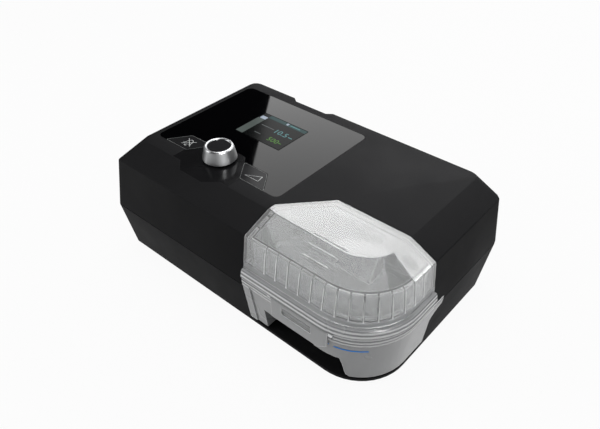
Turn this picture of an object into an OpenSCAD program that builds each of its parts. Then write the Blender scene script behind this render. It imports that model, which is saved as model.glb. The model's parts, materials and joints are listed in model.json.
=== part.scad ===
// Bedside positive-airway-pressure breathing machine with a pull-out water chamber.
// Millimetres. +X right, +Y back, +Z up. Origin at the middle of the footprint, on the table.

/* [Case] */
// Width of the case at its parting line
case_w = 265; // [255:1:275]
// Depth of the case at its parting line
case_d = 167; // [162:1:172]
// Height of the top face above the underside
case_h = 96.3; // [94:0.1:99]
// Height of the parting line above the underside
seam_h = 44; // [42:0.5:46]
// Thickness of the moulded case walls
wall = 2.5; // [2:0.1:2.8]
// Gap between the two case halves at the parting line
seam_gap = 0.6; // [0.3:0.1:0.8]
// Height of the rubber feet below the underside
foot_h = 1.5; // [1:0.1:2.5]
// Radius of the big front right corner at the parting line
corner_r = 46; // [43:1:48]
// Radius of the same corner at the underside
corner_r_base = 40; // [37:1:43]
// Radius of the two rear vertical corners
rear_r = 7; // [4:0.5:9]
// Radius of the sharp front left corner
front_left_r = 1.5; // [1:0.5:3]
// How far the side walls lean in from the parting line down to the underside
lean_low_side = 4.7; // [4:0.1:5.4]
// How far the front wall leans in below the parting line
lean_low_front = 6.7; // [6:0.1:7.4]
// How far the back wall leans in below the parting line
lean_low_back = 7.4; // [6.4:0.1:8]
// How far the side walls lean in above the parting line
lean_up_side = 4; // [3.4:0.1:4.6]
// How far the front wall leans in above the parting line
lean_up_front = 5.7; // [5.2:0.1:6.2]
// How far the back wall leans in above the parting line
lean_up_back = 3; // [2.4:0.1:3.6]
// Depth, seen from above, of the sloping front facet
front_facet = 24.2; // [22:0.1:26]
// Fall of the front facet below the top face
front_facet_drop = 8.5; // [7.5:0.1:9.5]
// Width, seen from above, of the sloping right facet
side_facet = 20.8; // [19:0.1:22]
// Fall of the right facet below the top face
side_facet_drop = 10.4; // [9.4:0.1:11.4]
// Corner radius of the top face at the front right
top_r = 25; // [22:0.5:28]
// Diagonal cut of the top face at the front left
top_cut = 6.5; // [5:0.5:8]
// Small break along the sharp outer edges
edge_break = 0.5; // [0.3:0.1:0.8]

/* [Control panel] */
// Left edge of the glass from the left side of the case
glass_margin = 10.5; // [9:0.5:12]
// Width of the glass
glass_w = 133.8; // [130:0.2:134]
// Depth of the glass
glass_d = 109.4; // [106:0.2:110]
// Thickness of the glass
glass_t = 1.4; // [1:0.1:1.6]
// Corner radius of the glass
glass_r = 5; // [3:0.5:7]
// Front edge of the glass behind the front edge of the top face
glass_setback = 12.9; // [12:0.1:14]
// Knob centre from the left side of the case
knob_from_left = 76.1; // [75:0.5:77]
// Knob centre behind the front edge of the glass
knob_setback = 8.8; // [8:0.1:9.5]
// Radius of the knob at its flared foot
knob_foot_r = 13.6; // [12.5:0.1:14]
// Radius of the knob at its top
knob_top_r = 11.1; // [10.6:0.1:11.6]
// Height of the knob top above the top face
knob_h = 12.6; // [11.5:0.1:13.5]
// Gap under the knob
knob_lift = 1.5; // [1.3:0.1:1.8]
// Radius of the black disc in the knob top
knob_cap_r = 9; // [8:0.1:9.4]
// Travel of the knob when pressed
knob_travel = 0.6; // [0.4:0.1:0.7]
// Radius of the encoder shaft
shaft_r = 3; // [2.5:0.1:3.2]
// Running clearance round the encoder shaft
shaft_gap = 0.05; // [0.03:0.01:0.08]
// Travel of the two touch keys
key_travel = 0.6; // [0.4:0.1:0.8]
// Gap round the two keys
key_gap = 0.35; // [0.3:0.05:0.5]
// Width of the lit area of the display
screen_w = 48.96; // [46:0.1:52]
// Depth of the lit area of the display
screen_d = 36.72; // [34:0.1:40]
// Left edge of the lit area from the left edge of the glass
screen_from_left = 43.3; // [42:0.1:45]
// Front edge of the lit area behind the front edge of the glass
screen_setback = 47.2; // [46:0.1:49]

/* [Water chamber] */
// Width of the chamber bay from the right side of the case
bay_w = 117.2; // [114:0.2:118]
// Length of the bay from the front of the case
bay_len = 70.4; // [69:0.2:72]
// Width of the slanted rear left corner of the bay
bay_cut_w = 30.9; // [28:0.1:32]
// Length of the slanted rear left corner of the bay
bay_cut_len = 33.4; // [31:0.1:35]
// Gap between chamber and bay
bay_gap = 0.5; // [0.4:0.1:0.8]
// Thickness of the bay walls
bay_wall = 2; // [1.6:0.1:2.4]
// Thickness of the platform under the chamber
platform_t = 4.2; // [4:0.1:5]
// Thickness of the chamber walls
tub_wall = 2.4; // [2:0.1:2.6]
// Height of the chamber rim above the underside
rim_h = 60; // [59:0.5:61]
// Height of the outer flange
flange_h = 6.4; // [5.5:0.1:7]
// How far the flange stands proud at its top edge
flange_proud = 2.3; // [1.8:0.1:2.8]
// How far the flange stands proud at its lower edge
flange_proud_low = 2.8; // [2.3:0.1:3.2]
// Height of each of the two bands below the flange
band_h = 3; // [2.5:0.1:3.4]
// How far the upper band stands proud
band_proud = 1.3; // [1:0.1:1.6]
// Width of the border at the left of the tub's front
panel_border = 7.4; // [6.5:0.1:8.5]
// Depth of the sunk panel on the tub's front
panel_sink = 0.9; // [0.6:0.1:1.2]
// Gap between chamber rim and lid
lid_gap = 0.9; // [0.7:0.1:1.2]
// Thickness of the lid
lid_t = 2; // [1.6:0.1:2.4]
// Width of the ribbed channel inside the lid wall
rib_depth = 2.6; // [2:0.1:3.4]
// Thickness of the inner wall and of the ribs
rib_t = 1.4; // [1.2:0.1:1.8]
// Distance between two ribs
rib_pitch = 10.2; // [9.6:0.1:12]
// Height of the solid rim under the ribs
lid_rim_h = 5; // [4:0.5:6]
// Left end of the finger recess from the left side of the bay
recess_from_left = 17.6; // [16:0.1:19]
// Width of the finger recess
recess_w = 73; // [68:0.5:75]
// Top of the finger recess above the underside
recess_h = 27; // [25:0.5:28]
// Depth of the finger recess
recess_d = 25; // [23:0.5:27]
// Travel of the chamber when it is pulled out
pull_out = 110; // [90:5:140]

/* [Latch] */
// Width of the latch plate at its top
latch_w = 50; // [46:0.5:52]
// Height of the latch plate
latch_h = 17; // [15.5:0.5:18]
// Thickness of the latch plate
latch_t = 1.8; // [1.4:0.1:2]
// Left edge of the latch plate from the left side of the bay
latch_from_left = 29.8; // [29:0.1:31]
// Radius of the latch hinge pin
latch_pin_r = 0.8; // [0.7:0.05:0.9]
// Radius of the knuckle round the pin
knuckle_r = 1.6; // [1.4:0.1:1.8]

/* [Air path] */
// Outer radius of the hose port
port_r = 11; // [10.8:0.05:11.2]
// Bore radius of the hose port
port_bore_r = 9; // [8.5:0.1:9.4]
// Hose port centre from the left side of the case
port_from_left = 77.5; // [76:0.5:79]
// Height of the hose port centre above the underside
port_z = 64.5; // [63:0.5:66]
// Radius of the well round the hose port
well_r = 17; // [16:0.5:18]
// Gap round the blower, to the back wall and to the plenum
blower_gap = 1.6; // [1.2:0.1:2.4]
// Room for the mounts between the blower and the side wall
blower_side = 8.75; // [8:0.25:10]
// Distance between the impeller and the outside of the blower housing
impeller_gap = 7; // [6:0.5:9]
// Depth of the plenum between the blower and the chamber
plenum_d = 16.6; // [14:0.2:18]
// Number of impeller blades
blades = 11; // [8:1:14]
// Radius of the blower motor
motor_r = 14; // [12:0.5:16]
// Outer radius of the return duct
duct_r = 10.5; // [10:0.1:10.8]
// Radius of the round outlet of the chamber
outlet_r = 8; // [7:0.5:8.5]
// Width of the flat inlet of the chamber
inlet_w = 40; // [36:1:42]
// Height of the flat inlet of the chamber
inlet_h = 11; // [9:0.5:12]

/* [Hidden] */
eps = 0.01;
fine = 64;
soft = 32;

half_w = case_w / 2;
half_d = case_d / 2;
z_base = foot_h;
z_seam = foot_h + seam_h;
z_top = foot_h + case_h;
z_floor = z_base + wall;

top_left = -half_w + lean_up_side + 1.7;
top_right = half_w - lean_up_side - side_facet;
top_front = -half_d + lean_up_front + front_facet;
top_back = half_d - lean_up_back - 0.4;
front_slope = atan(front_facet_drop / front_facet);
side_slope = atan(side_facet_drop / side_facet);

bay_left = half_w - bay_w;
bay_back = -half_d + bay_len;
bay_cut_angle = atan(bay_cut_len / bay_cut_w);

glass_left = -half_w + glass_margin;
glass_right = glass_left + glass_w;
glass_front = top_front + glass_setback;
glass_back = glass_front + glass_d;
glass_seat = z_top - glass_t;
knob_x = -half_w + knob_from_left;
knob_y = glass_front + knob_setback;
screen_x = glass_left + screen_from_left;
screen_y = glass_front + screen_setback;

// Keys: parallelograms on both sides of the knob, drawn for the right-hand one
key_near = 17.8;
key_far = 42.6;
key_near_front = 30.1;
key_far_front = 54.8;
key_back_y = glass_front + 17.8;
zone_back_y = glass_front + 23.3;
zone_half = 13.4;
key_r = 1.8;
key_t = 3.4;
key_lip = 0.9;
key_lip_t = 1;
stem_r = 2.4;

// Board under the control panel
board_t = 1.6;
board_drop = 14;
z_board = z_top - board_drop;
board_left = glass_left + 3;
board_right = bay_left - bay_wall - 3.5;
board_front = glass_front - 6;
post_r = 3.2;
screw_r = 1.4;
switch_h = board_drop - key_t - key_lip_t - 4.1;

// Display
display_border = 5;
display_t = 2.6;
ceiling_z = z_top - wall;

// Knob and encoder
z_knob = z_top + knob_lift;
bush_r = shaft_r + 1.4;
encoder_w = 13;
encoder_h = 7;
z_encoder = z_board;
sleeve_h = 2;
sleeve_r = shaft_r + 1.6;

// Chamber levels
z_platform = z_base + platform_t;
z_tub = z_platform + 0.5;
z_rim = z_base + rim_h;
z_lid = z_rim + lid_gap;
flange_front = -half_d + lean_up_front * (rim_h - flange_h - seam_h) / (case_h - front_facet_drop - seam_h)
    - flange_proud_low;
flange_right = half_w - lean_up_side * (rim_h - flange_h - seam_h) / (case_h - side_facet_drop - seam_h)
    + flange_proud_low;
recess_left = bay_left + recess_from_left;
ear_len = 13.2;
ear_h = 7.5;
ear_w = 7;
ear_drop = 17;

// Heater under the chamber
heater_x = half_w - bay_w / 2 + 12;
heater_y = bay_back - 23;
heater_w = 62;
heater_d = 36;
base_plate_t = 1;

// Hose port: its mouth stands as far behind the case as the flange stands in front of it
port_x = -half_w + port_from_left;
z_port = z_base + port_z;
port_mouth = -flange_front;
port_root = half_d - lean_up_back - 18;
port_root_r = port_r + 0.8;
port_seal_t = 1.6;
board_back = port_root - 4.2;
notch_floor = lean_up_back + 4.6;
notch_w = 46;

// Lid ports
inlet_x = bay_left + bay_cut_w + 24.3;
z_inlet = z_top - lid_t - 11;
outlet_x = inlet_x + 41;
z_outlet = z_lid + lid_rim_h + outlet_r + 3;

// Blower
plenum_front = bay_back + bay_wall + 0.4;
plenum_back = plenum_front + plenum_d;
blower_back = half_d - wall - lean_low_back;
blower_r = (blower_back - plenum_back) / 2 - blower_gap;
blower_y = plenum_back + blower_gap + blower_r;
impeller_r = blower_r - impeller_gap;
blower_x = half_w - wall - lean_low_side - blower_side - blower_r;
z_blower = z_floor + 9;
blower_h = 26;
blower_split = 12;
blower_wall = 2;
volute_w = 18;
mount_angles = [10, 130, 310];
foam_len = 44;
foam_h = 34;
z_impeller = z_blower + 5;
impeller_h = 10;
motor_h = 17;
motor_shaft_r = 2;

// Memory card: stands as far out on the left as the flange does on the right
card_y = 20;
z_card = z_seam - 9;
card_w = 24;
card_l = 32;
card_t = 2.1;

// ---------------------------------------------------------------- lofted case forms

function quarter(x, y, r, start, steps) =
    [for (i = [0:steps]) [x + r * cos(start + 90 * i / steps), y + r * sin(start + 90 * i / steps)]];

function mix(a, b, t) = a + (b - a) * t;

// Outline seen from above, from the front left corner round to the rear left one
function outline(left, right, front, back, r_corner, r_rear, r_left) = concat(
    quarter(left + r_left, front + r_left, r_left, 180, 3),
    quarter(right - r_corner, front + r_corner, r_corner, 270, 12),
    quarter(right - r_rear, back - r_rear, r_rear, 0, 3),
    quarter(left + r_rear, back - r_rear, r_rear, 90, 3));

function flat_ring(points, z) = [for (p = points) [p[0], p[1], z]];

function blend_ring(a, b, t) = [for (i = [0:len(a) - 1]) mix(a[i], b[i], t)];

// Skin over a stack of rings with equal numbers of points, lowest ring first
module loft(rings) {
    n = len(rings[0]);
    levels = len(rings);
    sides = [for (k = [0:levels - 2], i = [0:n - 1]) let (j = (i + 1) % n, a = k * n, b = (k + 1) * n)
        each [[a + i, b + i, b + j], [a + i, b + j, a + j]]];
    polyhedron(points = [for (ring = rings) each ring],
        faces = concat([[for (i = [0:n - 1]) i]], sides,
            [[for (i = [n - 1:-1:0]) (levels - 1) * n + i]]));
}

// Height of the wall top at each outline point: front and left, then falling round the corner
function shoulder_heights(z_front, z_side) = concat(
    [for (i = [0:3]) z_front],
    [for (i = [0:12]) mix(z_front, z_side, i / 12)],
    [for (i = [0:3]) z_side],
    [for (i = [0:3]) z_front]);

function shoulder_ring(inset) =
    let (points = outline(-half_w + lean_up_side + inset, half_w - lean_up_side - inset,
            -half_d + lean_up_front + inset, half_d - lean_up_back - inset,
            corner_r - 2.6 - inset, max(rear_r - inset, 1), max(front_left_r - inset, 0.4)),
        heights = shoulder_heights(z_top - front_facet_drop - inset * tan(45 - front_slope / 2),
            z_top - side_facet_drop - inset * tan(45 - side_slope / 2)))
    [for (i = [0:len(points) - 1]) [points[i][0], points[i][1], heights[i]]];

function top_ring(inset, level_inset) =
    let (left = top_left + inset, front = top_front + inset * tan(front_slope / 2),
        right = top_right - inset * tan(side_slope / 2), back = top_back - inset,
        points = outline(left, right, front, back, top_r, max(rear_r - inset, 1), 1),
        cut = [for (i = [0:3]) mix([left, front + top_cut], [left + top_cut, front], i / 3)])
    flat_ring([for (i = [0:len(points) - 1]) i < 4 ? cut[i] : points[i]], z_top - level_inset);

function seam_ring(inset, z) = flat_ring(outline(-half_w + inset, half_w - inset, -half_d + inset,
    half_d - inset, corner_r - inset, max(rear_r - inset, 1), max(front_left_r - inset, 0.4)), z);

function base_ring(inset, z) = flat_ring(outline(-half_w + lean_low_side + inset,
    half_w - lean_low_side - inset, -half_d + lean_low_front + inset, half_d - lean_low_back - inset,
    corner_r_base - inset, max(rear_r - inset, 1), max(front_left_r - inset, 0.4)), z);

// Everything above the parting line, moved in by inset on all sides
module upper_form(inset = 0, from = z_seam) {
    seam = seam_ring(inset, z_seam);
    shoulder = shoulder_ring(inset);
    top = top_ring(inset, inset);
    start = blend_ring(seam, shoulder, (from - z_seam) / (case_h - seam_h - front_facet_drop));
    loft([start,
        blend_ring(seam, shoulder, 1 - edge_break / 42),
        blend_ring(shoulder, top, edge_break / 24),
        blend_ring(shoulder, top, 1 - edge_break / 24),
        blend_ring(top, top_ring(inset + 3 * edge_break, inset), 0.34)]);
}

// Everything below the parting line, moved in by inset on all sides
module lower_form(inset = 0, from = z_base, to = z_seam) {
    base = base_ring(inset, z_base);
    seam = seam_ring(inset, z_seam);
    break_h = from == z_base ? 1 : 0;
    low = blend_ring(base, seam, (from - z_base) / seam_h);
    next = blend_ring(base, seam, (from - z_base + 1) / seam_h);
    high = blend_ring(base, seam, (to - z_base) / seam_h);
    if (break_h > 0)
        loft([base_ring(inset + 1, from), next, high]);
    else
        loft([low, high]);
}

// ---------------------------------------------------------------- bay and chamber plans

// Plan of the bay, moved towards its inside by gap; open sides run far past the case
function bay_points(gap) =
    let (left_shift = gap * tan((90 - bay_cut_angle) / 2), back_shift = gap * tan(bay_cut_angle / 2))
    [[bay_left + gap, -2 * case_d],
        [2 * case_w, -2 * case_d],
        [2 * case_w, bay_back - gap],
        [bay_left + bay_cut_w + back_shift, bay_back - gap],
        [bay_left + gap, bay_back - bay_cut_len - left_shift]];

module bay_prism(gap, low, high) {
    translate([0, 0, low]) linear_extrude(height = high - low) polygon(bay_points(gap));
}

// Guide ear at the right rear of the chamber, drawn in the side view (Y, Z)
module ear_side_view(gap) {
    back = bay_back + ear_len + gap;
    high = z_seam + 2.5 + gap;
    low = high - ear_h - 2 * gap;
    difference() {
        union() {
            translate([bay_back - 8, low - ear_drop]) square([8 + ear_len - 3 + gap, ear_h + ear_drop + 2 * gap]);
            translate([back - 3 - gap, low]) square([3, ear_h + 2 * gap]);
            translate([back - 3, low + 3]) circle(r = 3, $fn = soft);
            translate([back - 3, high - 3]) circle(r = 3, $fn = soft);
        }
        translate([back + 0.5, low - ear_drop - 1]) scale(1) circle(r = ear_drop + 0.5 - gap, $fn = fine);
        translate([back - 3 - gap, low - ear_drop - 2]) square([20, ear_drop + 2]);
    }
}

module ear_block(gap, x_from) {
    translate([x_from, 0, 0]) rotate([90, 0, 90])
        linear_extrude(height = 2 * case_w) ear_side_view(gap);
}

// ---------------------------------------------------------------- control panel plans

// side = 1 draws the right-hand key, side = -1 the left-hand one
module key_plan(side, grow = 0) {
    translate([knob_x, 0]) scale(1) offset(r = key_r + grow) offset(delta = -key_r)
        polygon(side > 0
            ? [[key_near_front, glass_front], [key_far_front, glass_front],
                [key_far, key_back_y], [key_near, key_back_y]]
            : [[-key_far_front, glass_front], [-key_near_front, glass_front],
                [-key_near, key_back_y], [-key_far, key_back_y]]);
}

// Bare top around the knob, cut out of the glass
module knob_zone_plan() {
    front = key_near_front + 1.3;
    translate([knob_x, 0]) polygon([[-front, glass_front - 9], [front, glass_front - 9],
        [front, glass_front + 0.3], [key_near + 0.5, key_back_y - 0.5], [zone_half, zone_back_y],
        [-zone_half, zone_back_y], [-key_near - 0.5, key_back_y - 0.5], [-front, glass_front + 0.3]]);
}

module glass_plan(grow = 0) {
    difference() {
        translate([glass_left + glass_r, glass_front + glass_r]) offset(r = glass_r + grow)
            square([glass_w - 2 * glass_r, glass_d - 2 * glass_r]);
        knob_zone_plan();
    }
}

// Raised tongue that carries the flat top forward under the knob
module tongue() {
    back_half = 22.5;
    front_half = 12.4;
    foot_half = 18;
    tongue_len = 9;
    foot_y = -half_d + lean_up_front + 0.3;
    hull() {
        translate([knob_x, 0, z_top - 1]) linear_extrude(height = 1) polygon([
            [-front_half, top_front - tongue_len], [front_half, top_front - tongue_len],
            [back_half, top_front + 0.2], [-back_half, top_front + 0.2]]);
        translate([knob_x, 0, z_top - front_facet_drop - 1]) linear_extrude(height = 0.9) polygon([
            [-foot_half, foot_y], [foot_half, foot_y],
            [back_half, top_front], [-back_half, top_front]]);
    }
}

// ---------------------------------------------------------------- case

module screw_posts(low, high, r) {
    for (x = [board_left + 5, board_right - 5], y = [board_front + 5, board_back - 5])
        translate([x, y, low]) cylinder(r = r, h = high - low, $fn = soft);
}

// Places of the four screws that hold the case halves together
module at_case_screws() {
    for (p = [[-half_w + 14, -half_d + 17], [-half_w + 14, half_d - 18],
            [bay_left - 9, -half_d + 17], [half_w - 17, half_d - 20]])
        translate([p[0], p[1], 0]) children();
}

module upper_housing() {
    color([0.13, 0.13, 0.135]) difference() {
        union() {
            difference() {
                union() {
                    upper_form(0, z_seam + seam_gap / 2);
                    tongue();
                }
                difference() {
                    upper_form(wall, z_seam);
                    bay_prism(-bay_wall, z_seam - 1, z_top);
                    // rear well wall round the hose port
                    translate([port_x, port_root - 2, z_port]) rotate([-90, 0, 0])
                        cylinder(r = well_r + 2, h = 30, $fn = fine);
                    translate([port_x - notch_w / 2 - 2, half_d - notch_floor - 2.2, z_port - 2])
                        cube([notch_w + 4, 20, z_top - z_port]);
                    // filter box
                    translate([filter_x - filter_w / 2 - 2, filter_y - filter_depth - 2, filter_z - 2])
                        cube([filter_w + 4, 40, filter_h + 4]);
                    screw_posts(z_board, z_top, post_r);
                    at_case_screws() translate([0, 0, z_seam - 1])
                        cylinder(r = 4, h = z_top - z_seam, $fn = soft);
                }
                // bay
                bay_prism(0, z_seam - 1, z_top + 20);
                ear_block(0.4, half_w - ear_w - 0.4);
                // glass recess
                translate([0, 0, glass_seat]) linear_extrude(height = 10) glass_plan(0.15);
                // keys
                translate([0, 0, z_top - 8]) linear_extrude(height = 20) {
                    key_plan(1, key_gap);
                    key_plan(-1, key_gap);
                }
                // display window
                translate([screen_x - 1, screen_y - 1, z_top - 8]) cube([screen_w + 2, screen_d + 2, 20]);
            }
            // collar round the knob bush
            translate([knob_x, knob_y, z_top - 0.5]) cylinder(r = knob_foot_r - 3, h = 0.5 + 0.5, $fn = fine);
        }
        // bush hole
        translate([knob_x, knob_y, z_top - 8]) cylinder(r = bush_r + 0.2, h = 20, $fn = fine);
        // shallow notch in the rear top edge with sloped ends
        translate([port_x, half_d, z_port]) linear_extrude(height = z_top)
            polygon([[-notch_w / 2 - 4, lean_up_back + 1], [-notch_w / 2, -lean_up_back], [-well_r, -notch_floor],
                [well_r, -notch_floor], [notch_w / 2, -lean_up_back], [notch_w / 2 + 4, lean_up_back + 1]]);
        // well round the hose port and its passage
        translate([port_x, port_root, z_port]) rotate([-90, 0, 0]) cylinder(r = well_r, h = 60, $fn = fine);
        translate([port_x, port_root - 10, z_port]) rotate([-90, 0, 0]) cylinder(r = port_root_r + 0.1, h = 20, $fn = fine);
        // chamber inlet and outlet through the rear wall of the bay
        bay_port_holes(0.1);
        // filter opening
        translate([filter_x - filter_w / 2, filter_y - filter_depth, filter_z])
            cube([filter_w, 60, filter_h]);
        filter_slots(filter_y - filter_depth - 10, 20);
        // screw holes in the board posts
        screw_posts(z_board - 1, z_board + 7, screw_r);
        at_case_screws() translate([0, 0, z_seam - 2]) cylinder(r = 1.6, h = 20, $fn = soft);
    }
}

// Openings of the two bellows in the rear wall of the bay, grown by gap
module bay_port_holes(gap) {
    translate([inlet_x - inlet_w / 2 - 3 - gap, bay_back - 5, z_inlet - inlet_h / 2 - 3 - gap])
        cube([inlet_w + 6 + 2 * gap, 12, inlet_h + 6 + 2 * gap]);
    translate([outlet_x, bay_back - 5, z_outlet]) rotate([-90, 0, 0])
        cylinder(r = outlet_r + 3 + gap, h = 12, $fn = fine);
}

// Rear air filter
filter_x = half_w - 44.5;
filter_w = 52;
filter_h = 24;
filter_z = z_seam + 14;
filter_y = half_d - lean_up_back;
filter_depth = 14;

module filter_slots(y, depth) {
    for (i = [-4:4]) translate([filter_x + i * 5 - 1.25, y, filter_z + 4]) cube([2.5, depth, filter_h - 8]);
}

module lower_housing() {
    color([0.12, 0.12, 0.125]) difference() {
        union() {
            difference() {
                lower_form(0, z_base, z_seam - seam_gap / 2);
                difference() {
                    lower_form(wall, z_floor, z_seam);
                    bay_prism(-bay_wall, 0, z_seam + 1);
                    floor_posts(z_base, z_floor + 6, 4);
                    at_case_screws() translate([0, 0, z_base]) cylinder(r = 4, h = seam_h - 1, $fn = soft);
                    // card shelf on the left wall
                    translate([-half_w - 5, card_y - 17, z_card - 6]) cube([38, 34, 3]);
                    blower_posts(z_base, z_floor + 3, 4);
                }
                // bay, down to the platform
                bay_prism(0, z_platform, z_seam + 1);
                ear_block(0.4, half_w - ear_w - 0.4);
            }
            // lip that registers the upper half
            difference() {
                lower_lip();
                bay_prism(-bay_wall - 0.3, 0, z_top);
                at_case_screws() cylinder(r = 5, h = z_top, $fn = soft);
                ear_block(0.6, half_w - ear_w - 3);
            }
        }
        // heater opening in the platform
        translate([heater_x - heater_w / 2, heater_y - heater_d / 2, z_base + 1.2]) cube([heater_w, heater_d, 20]);
        // feet
        at_feet() translate([0, 0, z_base - 1]) cylinder(r = 6.1, h = 1 + 0.8, $fn = soft);
        // case screws from below
        at_case_screws() {
            translate([0, 0, 0]) cylinder(r = 1.9, h = z_seam + 5, $fn = soft);
            translate([0, 0, z_base - 1]) cylinder(r = 3.6, h = 5, $fn = soft);
        }
        // memory card slot
        translate([-half_w - 10, card_y - card_w / 2 - 0.4, z_card - 0.4]) cube([20, card_w + 0.8, card_t + 0.8]);
        // power socket
        translate([socket_x, half_d + 10, z_socket]) rotate([90, 0, 0]) cylinder(r = 5.7, h = 30, $fn = fine);
        // screw holes in the floor posts
        floor_posts(z_base + 1, z_floor + 7, screw_r);
    }
}

// Upright band that stands up inside the upper half and registers it
module lower_lip() {
    outer = wall + 0.5;
    inner = outer + 1.2;
    difference() {
        loft([seam_ring(outer, z_seam - 9), seam_ring(outer, z_seam + 2.5)]);
        loft([seam_ring(inner, z_seam - 10), seam_ring(inner, z_seam + 4)]);
    }
}

module floor_posts(low, high, r) {
    for (x = [mb_left + 6, mb_right - 6], y = [mb_front + 6, mb_back - 6])
        translate([x, y, low]) cylinder(r = r, h = high - low, $fn = soft);
}

// Main board on the floor of the case
mb_left = -half_w + 24;
mb_right = bay_left - 20;
mb_front = -half_d + 26;
mb_back = half_d - 16;
z_mb = z_floor + 6;

module at_feet() {
    for (p = [[-half_w + 24, -half_d + 22], [-half_w + 24, half_d - 22],
            [half_w - 31, half_d - 22], [half_w - 40, -half_d + 30], [bay_left - 4, -half_d + 30]])
        translate([p[0], p[1], 0]) children();
}

module rubber_feet() {
    color([0.05, 0.05, 0.05]) at_feet() {
        cylinder(r = 5.4, h = 0.5, $fn = soft);
        translate([0, 0, 0.5 - eps]) cylinder(r = 6, h = z_base + 0.8 - 0.5 + eps, $fn = soft);
    }
}

module case_screws() {
    color([0.6, 0.6, 0.62]) at_case_screws() {
        translate([0, 0, z_base + 2.2]) difference() {
            cylinder(r = 3.2, h = 1.8, $fn = soft);
            translate([0, 0, -1]) cylinder(r = 1.2, h = 2, $fn = 6);
        }
        translate([0, 0, z_base + 4 - eps]) cylinder(r = 1.55, h = seam_h + 10, $fn = soft);
    }
}

// ---------------------------------------------------------------- control panel

module panel_glass() {
    color([0.02, 0.02, 0.025]) translate([0, 0, z_top - glass_t]) linear_extrude(height = glass_t)
        difference() {
            glass_plan(0);
            key_plan(1, key_gap);
            key_plan(-1, key_gap);
            offset(delta = 0.15) knob_zone_plan();
        }
}

module display_module() {
    color([0.2, 0.22, 0.24]) {
        // lit panel standing in the window
        translate([screen_x, screen_y, ceiling_z - eps])
            cube([screen_w, screen_d, glass_seat - ceiling_z]);
        // backing frame
        translate([screen_x - display_border, screen_y - display_border, ceiling_z - 0.1 - display_t])
            cube([screen_w + 2 * display_border, screen_d + 2 * display_border, display_t + 0.1]);
        // legs down to the board
        for (x = [screen_x - display_border + 2, screen_x + screen_w + display_border - 2],
                y = [screen_y - display_border + 2, screen_y + screen_d + display_border - 2])
            translate([x, y, z_board]) cylinder(r = 1.6, h = ceiling_z - 1 - z_board, $fn = soft);
    }
}

module touch_key(side) {
    // top plate in the housing
    translate([0, 0, z_top - key_t]) linear_extrude(height = key_t) key_plan(side, 0);
    // lip that keeps the key in
    translate([0, 0, ceiling_z - 0.3 - key_lip_t]) linear_extrude(height = key_lip_t)
        key_plan(side, key_gap + key_lip);
    // stem over the switch
    translate([knob_x + side * (key_near + key_far_front) / 2, glass_front + 8.5, z_board + switch_top])
        cylinder(r = stem_r, h = z_top - 2 - z_board - switch_top, $fn = soft);
}
switch_top = 5 + key_travel + 0.3;

module mute_key() { color([0.09, 0.09, 0.1]) touch_key(-1); }
module ramp_key() { color([0.09, 0.09, 0.1]) touch_key(1); }

module key_switches() {
    color([0.7, 0.7, 0.72]) for (side = [-1, 1])
        translate([knob_x + side * (key_near + key_far_front) / 2, glass_front + 8.5, z_board]) {
            translate([-3, -3, 0]) cube([6, 6, 3.6]);
            translate([0, 0, 3.6 - eps]) cylinder(r = 1.6, h = 1.4 + eps, $fn = soft);
        }
}

module control_knob() {
    flare = 1.6;
    bowl_r = knob_cap_r + 0.1;
    color([0.72, 0.72, 0.74]) translate([knob_x, knob_y, 0]) rotate_extrude($fn = 96) polygon([
        [shaft_r, z_knob + 1.6],
        [knob_foot_r - 2.6, z_knob + 1.6],
        [knob_foot_r - 1.6, z_knob],
        [knob_foot_r - 0.5, z_knob],
        [knob_foot_r, z_knob + 0.5],
        [knob_foot_r - 0.15, z_knob + flare],
        [knob_top_r + 0.7, z_top + knob_h - 2.4],
        [knob_top_r + 0.35, z_top + knob_h - 1],
        [knob_top_r - 0.45, z_top + knob_h - 0.15],
        [knob_top_r - 1, z_top + knob_h],
        [bowl_r + 0.4, z_top + knob_h - 0.15],
        [bowl_r, z_top + knob_h - 0.8],
        [bowl_r, z_top + knob_h - 2],
        [shaft_r, z_top + knob_h - 2]]);
}

module knob_cap() {
    color([0.1, 0.1, 0.1]) translate([knob_x, knob_y, z_top + knob_h - 2]) {
        rotate_extrude($fn = 96) polygon([[0, 0], [knob_cap_r, 0], [knob_cap_r, 1.1],
            [knob_cap_r - 0.3, 1.4], [0, 1.5]]);
    }
}

module encoder_shaft() {
    color([0.75, 0.75, 0.76]) translate([knob_x, knob_y, 0]) {
        translate([0, 0, z_encoder + knob_travel + 0.5])
            cylinder(r = shaft_r, h = z_top + knob_h - 2 - z_encoder - knob_travel - 0.5, $fn = fine);
        // collar that rests on the sleeve
        translate([0, 0, z_sleeve + sleeve_h + 0.05]) cylinder(r = sleeve_r - 0.3, h = 0.8, $fn = fine);
    }
}
z_sleeve = z_encoder + 2.2;

module push_sleeve() {
    color([0.85, 0.85, 0.8]) translate([knob_x, knob_y, z_sleeve]) difference() {
        cylinder(r = sleeve_r, h = sleeve_h, $fn = fine);
        translate([0, 0, -1]) cylinder(r = shaft_r + shaft_gap, h = sleeve_h + 2, $fn = fine);
    }
}

module encoder_body() {
    color([0.3, 0.32, 0.34]) translate([knob_x, knob_y, 0]) difference() {
        union() {
            translate([-encoder_w / 2, -encoder_w / 2, z_encoder]) cube([encoder_w, encoder_w, encoder_h]);
            translate([0, 0, z_encoder]) cylinder(r = bush_r, h = z_top + 0.4 - z_encoder, $fn = fine);
        }
        translate([0, 0, z_encoder + 0.4]) cylinder(r = shaft_r + shaft_gap, h = 30, $fn = fine);
        // chamber in which the sleeve slides
        translate([0, 0, z_sleeve - knob_travel - 0.3])
            cylinder(r = sleeve_r + 0.1, h = sleeve_h + 0.85 + knob_travel + 0.6, $fn = fine);
    }
}

module control_board() {
    color([0.05, 0.3, 0.15]) difference() {
        translate([board_left, board_front, z_board - board_t])
            cube([board_right - board_left, board_back - board_front, board_t]);
        screw_posts(z_board - 3, z_board + 1, screw_r + 0.2);
    }
}

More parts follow.
